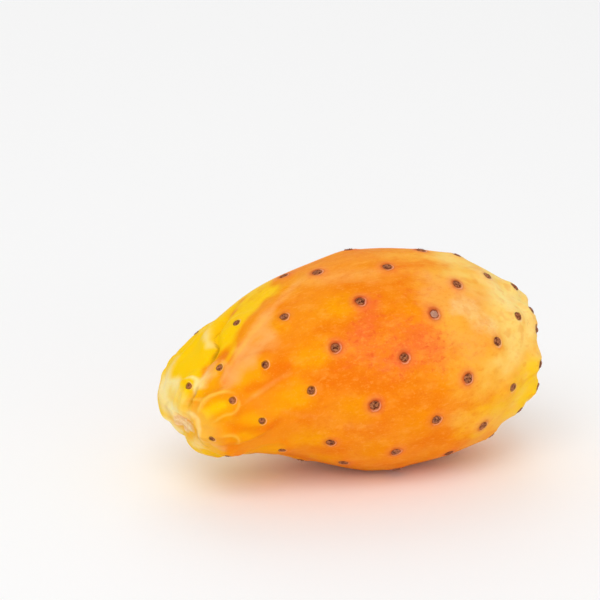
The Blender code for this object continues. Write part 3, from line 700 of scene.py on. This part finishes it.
# Olive along the creases of the neck and round the stem end: painted shade in the creases.
PAINTS["olive_crease_shade"] = (
    (0.5, 0.45, ((27.5, -13), (25.1, -9), (24.1, -6), (23.4, -1), (23.1, 4))),
    (1.0, 0.5, ((23.6, -3), (23.1, 4), (22.9, 8), (22, 11), (21.1, 14), (18.6, 21))),
    (0.35, 0.6, ((21.1, 14), (18.6, 21), (17.1, 22), (13.9, 26))),
    (0.65, 0.55, ((15.2, 26), (13, 32), (11.4, 32), (9.6, 33), (6.8, 36))),
    (0.5, 1.1, ((8, -18), (6.4, -46), (5.2, -72), (4.8, -104))),
    (0.6, 0.5, ((3.8, 126), (5, 116), (6.4, 119), (8.6, 134))),
    (0.35, 0.5, ((7.9, 86), (7.6, 104), (8, 116), (8.2, 134))),
)
PAINT_REACH = 2.6
PAINT_FADES_BY = 1.7
PAINT_WAVER = 0.5
PAINT_WAVER_SIZE = 4.0 * MM
GOLD_BELOW = 2.6 * MM
GOLD_STEMWARD = 8.0 * MM
GOLD_CROWNWARD = 3.6 * MM
GOLD_SIDEWAYS = 4.0 * MM
SEAT_REACH = 4.0 * MM
SEAT_BORDER = 1.0 * MM
REDNESS_SEED = 3
REDNESS = (0.35, 1.0)


def painted(points, strokes, waver):
    """How strongly points of the skin take one paint's strokes."""
    bare = np.ones(len(points))
    for strength, half_width, stations in strokes:
        rows, off, part = near_path(points, stations, PAINT_REACH * half_width * MM)
        fade = np.clip(PAINT_FADES_BY * np.sin(math.pi * part), 0, 1)
        width = half_width * MM * (1 + PAINT_WAVER * waver[rows])
        bare[rows] *= 1 - strength * fade * np.exp(-((off / width) ** 2))
    return 1 - bare


def areole_masks(share, around, points):
    """The golden glow below the areoles, and each point's place beside the nearest one."""
    along, radius = outline_at(share)
    wide = np.maximum(radius, LEAST_RADIUS)
    gold = np.zeros(len(share))
    nearest = np.full(len(share), np.inf)
    second = np.full(len(share), np.inf)
    seat = np.zeros((len(share), 3))
    redness = random.Random(REDNESS_SEED)
    for place, areole in zip(places, seats):
        ahead, sideways = from_areole(along, around, wide, place)
        reach = np.where(ahead < -GOLD_BELOW, GOLD_STEMWARD, GOLD_CROWNWARD)
        spread = ((ahead + GOLD_BELOW) / reach) ** 2 + (sideways / GOLD_SIDEWAYS) ** 2
        gold = np.maximum(gold, np.exp(-spread))
        rows, ahead, sideways, away = round_areole(points, areole)
        second[rows] = np.minimum(second[rows], np.maximum(away, nearest[rows]))
        closer = away < nearest[rows]
        nearest[rows[closer]] = away[closer]
        seat[rows[closer], 0] = ahead[closer]
        seat[rows[closer], 1] = sideways[closer]
        seat[rows[closer], 2] = redness.uniform(*REDNESS)
    near_seat = np.clip(np.minimum(SEAT_REACH, second) - nearest, 0, SEAT_BORDER) / SEAT_BORDER
    return gold, seat, near_seat * (share < DISH_SHARE)


def add_mask(mesh, name, values):
    """Keep one number for each point of a mesh, for its material to read."""
    layer = mesh.attributes.new(name, "FLOAT", "POINT")
    layer.data.foreach_set("value", np.asarray(values, dtype=np.float32))


def add_vectors(mesh, name, values):
    """Keep one vector for each point of a mesh."""
    layer = mesh.attributes.new(name, "FLOAT_VECTOR", "POINT")
    layer.data.foreach_set("vector", values.astype(np.float32).ravel())


def make_rind():
    """The whole skin, from a fine UV sphere moved onto the fruit."""
    sphere = bmesh.new()
    bmesh.ops.create_uvsphere(sphere, u_segments=SKIN_SEGMENTS, v_segments=SKIN_ROWS, radius=1.0)
    mesh = bpy.data.meshes.new("rind")
    sphere.to_mesh(mesh)
    sphere.free()
    unit_points = np.empty(len(mesh.vertices) * 3)
    mesh.vertices.foreach_get("co", unit_points)
    unit_points = unit_points.reshape(-1, 3)
    level = np.round(np.arccos(np.clip(unit_points[:, 2], -1, 1)) / math.pi * SKIN_ROWS) / SKIN_ROWS
    share = level - ROW_CROWDING / (2 * math.pi) * np.sin(2 * math.pi * level)
    around = np.arctan2(unit_points[:, 1], unit_points[:, 0])
    smooth = smooth_skin(share, around)
    outward = skin_axes(share, around)[2]
    raised = smooth + (main_relief(share, around) + fine_relief(share, around))[:, None] * outward
    raised[:, 2] = np.maximum(raised[:, 2], SKIN_OFF_FLOOR)
    mesh.vertices.foreach_set("co", raised.ravel())
    along, radius = outline_at(share)
    gold, seat, near_seat = areole_masks(share, around, smooth)
    scar, dish = scar_and_dish(share, around)
    waver = grain(smooth, PAINT_WAVER_SIZE)
    masks = {name: painted(smooth, strokes, waver) for name, strokes in PAINTS.items()}
    masks["along"] = along / SKIN_LENGTH
    # Which way a place faces, up or down, for the painted light on the top.
    masks["top"] = np.cos(around)
    masks["gold"] = gold
    masks["near_seat"] = near_seat
    masks["scar"] = scar
    masks["scar_folds"] = scar_folds(share, around, smooth)
    masks["dish"] = dish
    masks["dish_lines"] = dish_rays(share, around, smooth) + dish_rings(share, smooth)
    # How deep the creases are, for the painted shade laid in them.
    masks["crease_shade"] = -crease_height(smooth, CREASES) / MM
    for name, values in masks.items():
        add_mask(mesh, name, values)
    add_vectors(mesh, "seat", seat)
    straight = np.stack([along, radius * np.cos(around), radius * np.sin(around)], -1)
    add_vectors(mesh, "straightened", straight)
    mesh.update()
    mesh.shade_smooth()
    made = bmesh.new()
    made.from_mesh(mesh)
    bmesh.ops.recalc_face_normals(made, faces=made.faces)
    made.to_mesh(mesh)
    made.free()
    return bpy.data.objects.new("rind", mesh)


class Nodes:
    """Short words for building one material's nodes."""

    def __init__(self, name):
        self.material = bpy.data.materials.new(name)
        self.material.use_nodes = True
        self.tree = self.material.node_tree
        self.shader = self.tree.nodes["Principled BSDF"]
        self.shader.inputs["Metallic"].default_value = 0.0

    def new(self, kind, **settings):
        """A node with its settings."""
        node = self.tree.nodes.new(kind)
        for setting, value in settings.items():
            setattr(node, setting, value)
        return node

    def put(self, value, socket):
        """Link an output to a socket, or set the socket's own value."""
        if isinstance(value, bpy.types.NodeSocket):
            self.tree.links.new(value, socket)
        else:
            socket.default_value = value

    def mask(self, name):
        """One of the mesh's masks."""
        return self.new("ShaderNodeAttribute", attribute_name=name).outputs["Fac"]

    def math(self, operation, first, second=0.0, clamp=False):
        """One sum, product or other step."""
        node = self.new("ShaderNodeMath", operation=operation, use_clamp=clamp)
        self.put(first, node.inputs[0])
        self.put(second, node.inputs[1])
        return node.outputs[0]

    def times(self, first, second):
        """One value times another."""
        return self.math("MULTIPLY", first, second)

    def plus(self, first, second):
        """One value added to another."""
        return self.math("ADD", first, second)

    def ramp(self, value, low, high):
        """0 below low and 1 above high, smooth between them."""
        node = self.new("ShaderNodeMapRange", interpolation_type="SMOOTHSTEP")
        self.put(value, node.inputs["Value"])
        node.inputs["From Min"].default_value = low
        node.inputs["From Max"].default_value = high
        return node.outputs["Result"]

    def mix(self, share, first, second):
        """One colour laid over another."""
        node = self.new("ShaderNodeMix", data_type="RGBA")
        self.put(share, node.inputs[0])
        self.put(first, node.inputs[6])
        self.put(second, node.inputs[7])
        return node.outputs[2]

    def noise(self, scale, stretch=1.0, detail=3.0, roughness=0.5, shift=0.0, place=None):
        """Noise fixed to the object, or to a place, drawn out along the first axis."""
        if place is None:
            place = self.new("ShaderNodeTexCoord").outputs["Object"]
        mapping = self.new("ShaderNodeMapping")
        self.put(place, mapping.inputs["Vector"])
        mapping.inputs["Location"].default_value = (shift, shift, shift)
        mapping.inputs["Scale"].default_value = (1 / stretch, 1.0, 1.0)
        node = self.new("ShaderNodeTexNoise")
        self.put(mapping.outputs[0], node.inputs["Vector"])
        node.inputs["Scale"].default_value = scale
        node.inputs["Detail"].default_value = detail
        node.inputs["Roughness"].default_value = roughness
        return node.outputs["Fac"]

    def bump(self, height, distance, strength=1.0, below=None):
        """Fine relief from a height."""
        node = self.new("ShaderNodeBump")
        node.inputs["Distance"].default_value = distance
        node.inputs["Strength"].default_value = strength
        self.put(height, node.inputs["Height"])
        if below is not None:
            self.put(below, node.inputs["Normal"])
        return node.outputs[0]


def colour(hex_code):
    """A screen colour, such as F69004, as the linear colour that a shader takes."""
    screen = [int(hex_code[i:i + 2], 16) / 255 for i in (0, 2, 4)]
    linear = [c / 12.92 if c <= 0.04045 else ((c + 0.055) / 1.055) ** 2.4 for c in screen]
    return (*linear, 1.0)


# Noises of the rind: scale, how far they are drawn out, detail, roughness and shift.
NOISES = {
    "streaks": (260, 3.0, 3.0, 0.55, 0.0),
    "clouds": (110, 1.7, 3.0, 0.5, 0.3),
    "drifts": (75, 1.4, 2.0, 0.5, 0.9),
    "patches": (430, 1.8, 2.0, 0.5, 2.3),
    "mottle": (800, 1.4, 3.0, 0.65, 0.7),
    "speck": (1250, 2.0, 2.0, 0.6, 1.6),
    "fleck": (2600, 1.4, 2.0, 0.65, 1.1),
}
# How far streaks and mottle fray the edges of each of the strokes' masks.
FRAYS = {
    "gold": (0.9, 0.3),
    "deep": (0.6, 0.3),
    "flush": (1.0, 0.9),
    "lemon": (0.35, 0.15),
    "peach_and_highlight": (0.5, 0.3),
    "line": (0.3, 0.2),
    "cream_and_highlight": (0.35, 0.2),
    "olive_crease_shade": (0.2, 0.1),
}
# Colours laid on: a mask, where in it a colour starts and is full, the colour, strength.
LAYERS = (
    # The crown's colours, which its mask spreads further on the top: partly painted light from above.
    ("crown", 0.60, 0.92, "FDBE48", 0.9),
    ("crown", 0.80, 1.03, "FFDF86", 0.85),
    # Deep orange: partly the skin's own colour, partly painted shade in grooves.
    ("deep", 0.15, 0.95, "EE7604", 0.85),
    ("flush", 0.10, 1.05, "F46E34", 0.85),
    ("lemon", 0.25, 0.85, "FFC908", 1.0),
    # Peach: partly the skin's own colour, partly painted highlights on the ridges.
    ("peach_and_highlight", 0.15, 1.0, "FBB062", 0.85),
    ("stem_end", 0.05, 0.01, "F6CE5C", 0.6),
    # Pale lines: painted highlights on the thin ridges.
    ("line", 0.2, 1.0, "FDC450", 0.85),
    # Cream: pale skin, and painted highlights on ridges and banks.
    ("cream_and_highlight", 0.2, 1.0, "FDE8A6", 0.9),
    # Olive: painted shade in the creases.
    ("olive_crease_shade", 0.25, 1.0, "C08A08", 0.75),
    # Painted shade in the creases, darker where they are deeper.
    ("crease_shade", 0.15, 0.7, "B87808", 0.6),
)
# Fine mottling: a noise, where it starts and is full, part of the skin, colour, strength.
MOTTLING = (
    ("patches", 0.52, 0.70, "ripe", "FFAC40", 0.26),
    ("patches", 0.48, 0.30, "ripe", "EC7A0E", 0.26),
    ("mottle", 0.55, 0.72, "flushed", "E8441A", 0.40),
    ("speck", 0.54, 0.72, "ripe", "FFB04C", 0.26),
    ("speck", 0.46, 0.28, "below_crown", "EC6A18", 0.26),
    ("fleck", 0.56, 0.74, "everywhere", "FFBC58", 0.20),
    ("fleck", 0.44, 0.28, "below_crown", "E06C08", 0.22),
)
# Round each areole: where a blush, a red ring, a pale ring and a brown foot lie.
BLUSH_EDGES = (3.4 * MM, 1.3 * MM)
RED_EDGES = (2.1 * MM, 1.05 * MM)
FOOT_EDGES = (1.20 * MM, 0.98 * MM)
PALE_RING_AT = 1.28 * MM
PALE_RING_BREADTH = 0.30 * MM
SEAT_WAVER = 0.8 * MM
SEAT_CORE = 0.2 * MM


def rind_material():
    """Waxy skin: layers of ripening colour with painted highlights and painted shade, drawn out along
    the fruit.
    """
    n = Nodes("rind_skin")
    place = n.new("ShaderNodeAttribute", attribute_name="straightened").outputs["Vector"]
    noises = {name: n.noise(*recipe, place) for name, recipe in NOISES.items()}
    along = n.mask("along")

    def wandering(mask, noise_name, strength):
        """A mask moved up and down by one of the noises."""
        return n.plus(mask, n.times(n.plus(noises[noise_name], -0.5), strength))

    def layer(below, mask, hex_code, strength):
        """One colour laid over what is below it."""
        return n.mix(n.times(mask, strength), below, colour(hex_code))

    masks = {}
    for name, (by_streaks, by_mottle) in FRAYS.items():
        masks[name] = wandering(wandering(n.mask(name), "streaks", by_streaks), "mottle", by_mottle)
    # The crown's pale colours reach further on the top of the fruit and less far underneath: painted
    # light from above.
    crown = wandering(along, "clouds", 0.50)
    masks["crown"] = n.plus(crown, n.times(n.plus(n.mask("top"), -0.3), 0.09))
    masks["stem_end"] = n.plus(along, n.times(noises["clouds"], 0.04))
    masks["crease_shade"] = n.mask("crease_shade")
    between = n.mix(n.ramp(noises["clouds"], 0.38, 0.62), colour("F1800A"), colour("F69218"))
    between = layer(between, n.ramp(noises["drifts"], 0.48, 0.66), "F79A2C", 0.5)
    golden = n.mix(n.ramp(noises["drifts"], 0.38, 0.60), colour("FAA004"), colour("F49606"))
    golden = layer(golden, n.ramp(along, 0.35, 0.6), "F68A0A", 0.6)
    golden = layer(golden, n.ramp(along, 0.30, 0.12), "FDAE0A", 0.6)
    base = n.mix(n.ramp(masks["gold"], 0.05, 0.9), between, golden)
    for name, starts, full, hex_code, strength in LAYERS:
        base = layer(base, n.ramp(masks[name], starts, full), hex_code, strength)

    ripe = n.ramp(along, 0.10, 0.35)
    parts = {
        "everywhere": 1.0,
        "ripe": ripe,
        "flushed": n.ramp(n.mask("flush"), 0.05, 0.6),
        "below_crown": n.times(ripe, n.ramp(masks["crown"], 1.0, 0.66)),
    }
    for name, starts, full, part, hex_code, strength in MOTTLING:
        mask = n.times(n.ramp(noises[name], starts, full), parts[part])
        base = layer(base, mask, hex_code, strength)

    seat = n.new("ShaderNodeSeparateXYZ")
    n.put(n.new("ShaderNodeAttribute", attribute_name="seat").outputs["Vector"], seat.inputs[0])
    ahead, beside, redness = seat.outputs
    away = n.math("SQRT", n.plus(n.times(ahead, ahead), n.times(beside, beside)))
    away = wandering(away, "mottle", SEAT_WAVER)
    near_seat = n.mask("near_seat")
    on_belly = n.times(n.ramp(along, 0.18, 0.42), n.ramp(along, 0.95, 0.72))
    red_belly = n.times(redness, n.times(near_seat, on_belly))
    base = layer(base, n.times(n.ramp(away, *BLUSH_EDGES), red_belly), "EC6A50", 0.40)
    base = layer(base, n.times(n.ramp(away, *RED_EDGES), red_belly), "B83C1E", 0.75)
    off = n.math("ABSOLUTE", n.plus(away, -PALE_RING_AT))
    facing = n.math("DIVIDE", n.plus(ahead, beside), n.plus(away, SEAT_CORE))
    rim = n.times(n.ramp(off, PALE_RING_BREADTH, 0.0), n.ramp(facing, -0.4, 1.3))
    base = layer(base, n.times(rim, near_seat), "F4BC98", 0.5)
    base = layer(base, n.times(n.ramp(away, *FOOT_EDGES), near_seat), "7A3A20", 0.7)

    corky = n.mix(n.ramp(n.noise(1500, shift=0.2), 0.35, 0.65), colour("F6CE98"), colour("FDE2B4"))
    # The scar's furrows are painted darker: painted shade.
    corky = layer(corky, n.ramp(n.mask("scar_folds"), 0.4, -0.9), "DCA868", 0.4)
    base = n.mix(n.times(n.mask("scar"), 0.9), base, corky)
    dried = n.mix(n.ramp(n.noise(260, shift=0.5), 0.35, 0.65), colour("CF9548"), colour("EDBE70"))
    # The dish's furrows are painted dark brown: painted shade in its rays and rings.
    dried = layer(dried, n.ramp(n.mask("dish_lines"), 0.2, -1.3), "9A5E28", 0.75)
    base = n.mix(n.times(n.mask("dish"), 0.85), base, dried)

    n.put(base, n.shader.inputs["Base Color"])
    dull = n.math("ADD", n.mask("scar"), n.times(n.mask("dish"), 0.6), clamp=True)
    rough = n.plus(n.times(dull, 0.35), n.times(noises["mottle"], 0.14))
    n.put(n.plus(rough, 0.36), n.shader.inputs["Roughness"])
    n.shader.inputs["IOR"].default_value = 1.4
    n.shader.inputs["Specular IOR Level"].default_value = 0.03
    n.shader.inputs["Subsurface Weight"].default_value = 0.3
    n.shader.inputs["Subsurface Radius"].default_value = (1.0, 0.42, 0.12)
    n.shader.inputs["Subsurface Scale"].default_value = 1.5 * MM
    pores = n.bump(noises["fleck"], 0.03 * MM, 0.5)
    n.put(n.bump(noises["mottle"], 0.08 * MM, 0.5, pores), n.shader.inputs["Normal"])
    return n.material


scene_objects = bpy.context.scene.collection.objects
rind = make_rind()
scene_objects.link(rind)
rind.data.materials.append(rind_material())
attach(rind, "root")
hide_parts("fruit")

# The areoles
#
# Each is a low cushion of dry brown felt in a socket of the skin, with a tuft of
# short barbed bristles, most of them brushed off to stubs. They grow out of the rind.
FELT_RADII = (1.04 * MM, 0.94 * MM)
FELT_HEIGHT = 0.42 * MM
LOWER_AT_CROWN = 0.4
FELT_ROOT = 0.45 * MM
FELT_SIDES = 22
FELT_RINGS = 7
FELT_HOLLOW = 0.22 * MM
FELT_HOLLOW_SHARE = 0.4
FELT_RAGGED = 0.14
FELT_EDGE_LUMPS = 2
FELT_TUFTS = 0.16 * MM
TUFTS_ACROSS = 3
TUFTS_APART = 5.3
FELT_SIZE_SPREAD = 0.10
FELT_SEED = 11
WEAR_POWER = 8
WEAR_SEED = 1599
STUBS_EACH = 46
STUB_THICKNESS = 0.065 * MM
STUB_LENGTHS = (0.15 * MM, 0.45 * MM)
STUB_SPREAD = 0.78
STUB_LEANS = (0.275, 0.715)
STUB_STRAY = 0.2
STUB_ROOT = 0.2 * MM
STUB_STARTS = 0.5


def felt_top(reach, turn, number):
    """Height of a full cushion at a share of its radius: domed, ragged, hollow inside."""
    dome = FELT_HEIGHT * math.sqrt(max(0.0, 1 - reach**2))
    hollow = FELT_HOLLOW * math.exp(-((reach / FELT_HOLLOW_SHARE) ** 2))
    wide = reach * TUFTS_ACROSS
    spot = Vector((math.cos(turn) * wide, math.sin(turn) * wide, number * TUFTS_APART))
    return dome - hollow + FELT_TUFTS * noise.noise(spot)


def above_floor(point):
    """A point, raised to the floor's level if it is lower: the fruit's weight flattens it."""
    return (point[0], point[1], max(0.0, point[2]))


def add_cushion(body, wear, place, number, draw):
    """One felt cushion, added to a mesh that holds them all, with how far it is worn."""
    centre, crownward, sideways, outward = skin_point(*place)
    size = areole_size(place[0]) * (1 + draw.uniform(-FELT_SIZE_SPREAD, FELT_SIZE_SPREAD))
    rise = size * (1 - LOWER_AT_CROWN * neck_and_crown(place[0])[1])
    worn = body.verts.layers.float["worn"]
    rings = []
    for ring in range(FELT_RINGS + 1):
        reach = math.sin(math.pi / 2 * ring / FELT_RINGS)
        row = []
        for side in range(FELT_SIDES if ring else 1):
            turn = 2 * math.pi * side / FELT_SIDES
            edge = Vector((math.cos(turn), math.sin(turn), 0.0)) * FELT_EDGE_LUMPS
            edge.z = number
            wide = reach * size * (1 + FELT_RAGGED * noise.noise(edge))
            ahead = math.cos(turn) * FELT_RADII[0] * wide
            beside = math.sin(turn) * FELT_RADII[1] * wide
            height = felt_top(reach, turn, number) * rise
            if ring == FELT_RINGS:
                height = -FELT_ROOT
            spot = centre + ahead * crownward + beside * sideways + height * outward
            row.append(body.verts.new(above_floor(spot)))
            row[-1][worn] = wear
        rings.append(row)
    for side in range(FELT_SIDES):
        following = (side + 1) % FELT_SIDES
        body.faces.new((rings[0][0], rings[1][side], rings[1][following]))
        for inner, outer in zip(rings[1:], rings[2:]):
            body.faces.new((inner[side], outer[side], outer[following], inner[following]))
    body.faces.new(list(reversed(rings[-1])))
    return centre, crownward, sideways, outward, size, rise


def add_stub(body, root, tip):
    """One bristle stub: a slim three-sided spike."""
    axis = Vector(tip - root)
    side = axis.orthogonal().normalized()
    across = axis.cross(side).normalized()
    foot = []
    for corner in range(3):
        turn = 2 * math.pi * corner / 3
        offset = (math.cos(turn) * side + math.sin(turn) * across) * STUB_THICKNESS
        foot.append(body.verts.new(Vector(root) + offset))
    point = body.verts.new(tip)
    for corner in range(3):
        body.faces.new((foot[corner], foot[(corner + 1) % 3], point))
    body.faces.new((foot[2], foot[1], foot[0]))


def add_tuft(body, seat, draw):
    """The stubs of one areole, thick in the middle and leaning outwards."""
    centre, crownward, sideways, outward, size, rise = seat
    for _ in range(STUBS_EACH):
        turn = draw.uniform(0, 2 * math.pi)
        reach = STUB_SPREAD * math.sqrt(draw.random())
        flat = math.cos(turn) * FELT_RADII[0] * crownward + math.sin(turn) * FELT_RADII[1] * sideways
        root = centre + flat * reach * size + outward * (FELT_HEIGHT * STUB_STARTS * rise - STUB_ROOT)
        lean = reach * draw.uniform(*STUB_LEANS)
        stray = draw.uniform(-STUB_STRAY, STUB_STRAY)
        way = unit(outward + lean * unit(flat) + stray * crownward)
        length = draw.uniform(*STUB_LENGTHS) * rise + STUB_ROOT
        if root[2] > STUB_LENGTHS[1]:
            add_stub(body, root, root + way * length)


def felt_material():
    """Dry felt: brown, matted in paler and darker tufts."""
    n = Nodes("areole_felt")
    fibres = n.noise(1900, roughness=0.7)
    tone = n.mix(n.ramp(fibres, 0.38, 0.62), colour("542412"), colour("BE764C"))
    tone = n.mix(n.times(n.mask("worn"), 0.7), tone, colour("D0A08A"))
    n.put(tone, n.shader.inputs["Base Color"])
    n.shader.inputs["Roughness"].default_value = 0.95
    n.shader.inputs["Specular IOR Level"].default_value = 0.15
    n.put(n.bump(fibres, 0.12 * MM, 1.0), n.shader.inputs["Normal"])
    return n.material


def bristle_material():
    """Bristles: brown and horny, a little glossy."""
    n = Nodes("areole_bristles")
    shade = n.mix(n.noise(3000, detail=1.0), colour("582816"), colour("C88458"))
    n.put(shade, n.shader.inputs["Base Color"])
    n.shader.inputs["Roughness"].default_value = 0.5
    n.shader.inputs["Specular IOR Level"].default_value = 0.4
    return n.material


felt_body = bmesh.new()
felt_body.verts.layers.float.new("worn")
stub_body = bmesh.new()
draw = random.Random(FELT_SEED)
wear_draw = random.Random(WEAR_SEED)
for number, place in enumerate(places):
    wear = wear_draw.random() ** WEAR_POWER
    seat = add_cushion(felt_body, wear, place, number, draw)
    add_tuft(stub_body, seat, draw)
for name, body, material in (
    ("areole_felt", felt_body, felt_material()),
    ("areole_bristles", stub_body, bristle_material()),
):
    bmesh.ops.recalc_face_normals(body, faces=body.faces)
    mesh = bpy.data.meshes.new(name)
    body.to_mesh(mesh)
    body.free()
    mesh.shade_smooth()
    mesh.materials.append(material)
    piece = bpy.data.objects.new(name, mesh)
    scene_objects.link(piece)
    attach(piece, "root")
    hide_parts("fruit")

# The floor
#
# A plain pale sheet that the fruit lies on, so its shadow shows. It is not part of
# the fruit, and it reaches past the picture on every side.
FLOOR_HALF_WIDTH = 3.0
floor_body = bmesh.new()
bmesh.ops.create_grid(floor_body, x_segments=1, y_segments=1, size=FLOOR_HALF_WIDTH)
floor_mesh = bpy.data.meshes.new("floor")
floor_body.to_mesh(floor_mesh)
floor_body.free()
floor = bpy.data.objects.new("floor", floor_mesh)
scene_objects.link(floor)
paper = Nodes("white_paper")
paper.shader.inputs["Base Color"].default_value = (0.98, 0.98, 0.98, 1.0)
paper.shader.inputs["Roughness"].default_value = 0.9
floor_mesh.materials.append(paper.material)

# Camera and light
#
# The camera looks at the fruit's front from a little above and from the stem side,
# and large soft lamps light it from above, from the front and from behind.
CAMERA_AZIMUTH = math.radians(-20)
CAMERA_ELEVATION = math.radians(17.5)
CAMERA_DISTANCE = 0.558
LENS = 146.2
SENSOR = 36.0
AIM_RIGHT_OF_FRUIT = -0.0114
AIM_ABOVE_FRUIT = 0.0141
LAMPS = (
    ("key", (-0.7, -1.1, 1.7), (1.6, 1.6), 17.0),
    ("low", (0.2, -1.9, 0.35), (2.0, 0.6), 6.0),
    ("back", (0.4, 1.6, 1.4), (1.6, 1.6), 7.0),
)
ROOM_LIGHT = 0.62

away = Vector((
    math.sin(CAMERA_AZIMUTH) * math.cos(CAMERA_ELEVATION),
    -math.cos(CAMERA_AZIMUTH) * math.cos(CAMERA_ELEVATION),
    math.sin(CAMERA_ELEVATION),
))
right = Vector((math.cos(CAMERA_AZIMUTH), math.sin(CAMERA_AZIMUTH), 0.0))
overhead = away.cross(right)
half_way = [float(np.interp(SKIN_LENGTH / 2, steps, middle_line[:, axis])) for axis in range(3)]
aim = Vector(half_way) + AIM_RIGHT_OF_FRUIT * right + AIM_ABOVE_FRUIT * overhead
camera_data = bpy.data.cameras.new("camera")
camera_data.lens = LENS
camera_data.sensor_width = SENSOR
camera = bpy.data.objects.new("camera", camera_data)
camera.matrix_world = Matrix.Translation(aim + CAMERA_DISTANCE * away) @ Matrix(
    (right, overhead, away)
).transposed().to_4x4()
scene_objects.link(camera)
bpy.context.scene.camera = camera

for name, spot, size, power in LAMPS:
    lamp_data = bpy.data.lights.new(name, "AREA")
    lamp_data.shape = "RECTANGLE"
    lamp_data.size, lamp_data.size_y = size
    lamp_data.energy = power
    lamp = bpy.data.objects.new(name, lamp_data)
    lamp.location = spot
    lamp.rotation_euler = Vector(spot).to_track_quat("Z", "Y").to_euler()
    scene_objects.link(lamp)
world = bpy.data.worlds.new("soft_room")
world.use_nodes = True
world.node_tree.nodes["Background"].inputs["Color"].default_value = (1.0, 1.0, 1.0, 1.0)
world.node_tree.nodes["Background"].inputs["Strength"].default_value = ROOM_LIGHT
bpy.context.scene.world = world
bpy.context.scene.view_settings.view_transform = "Standard"
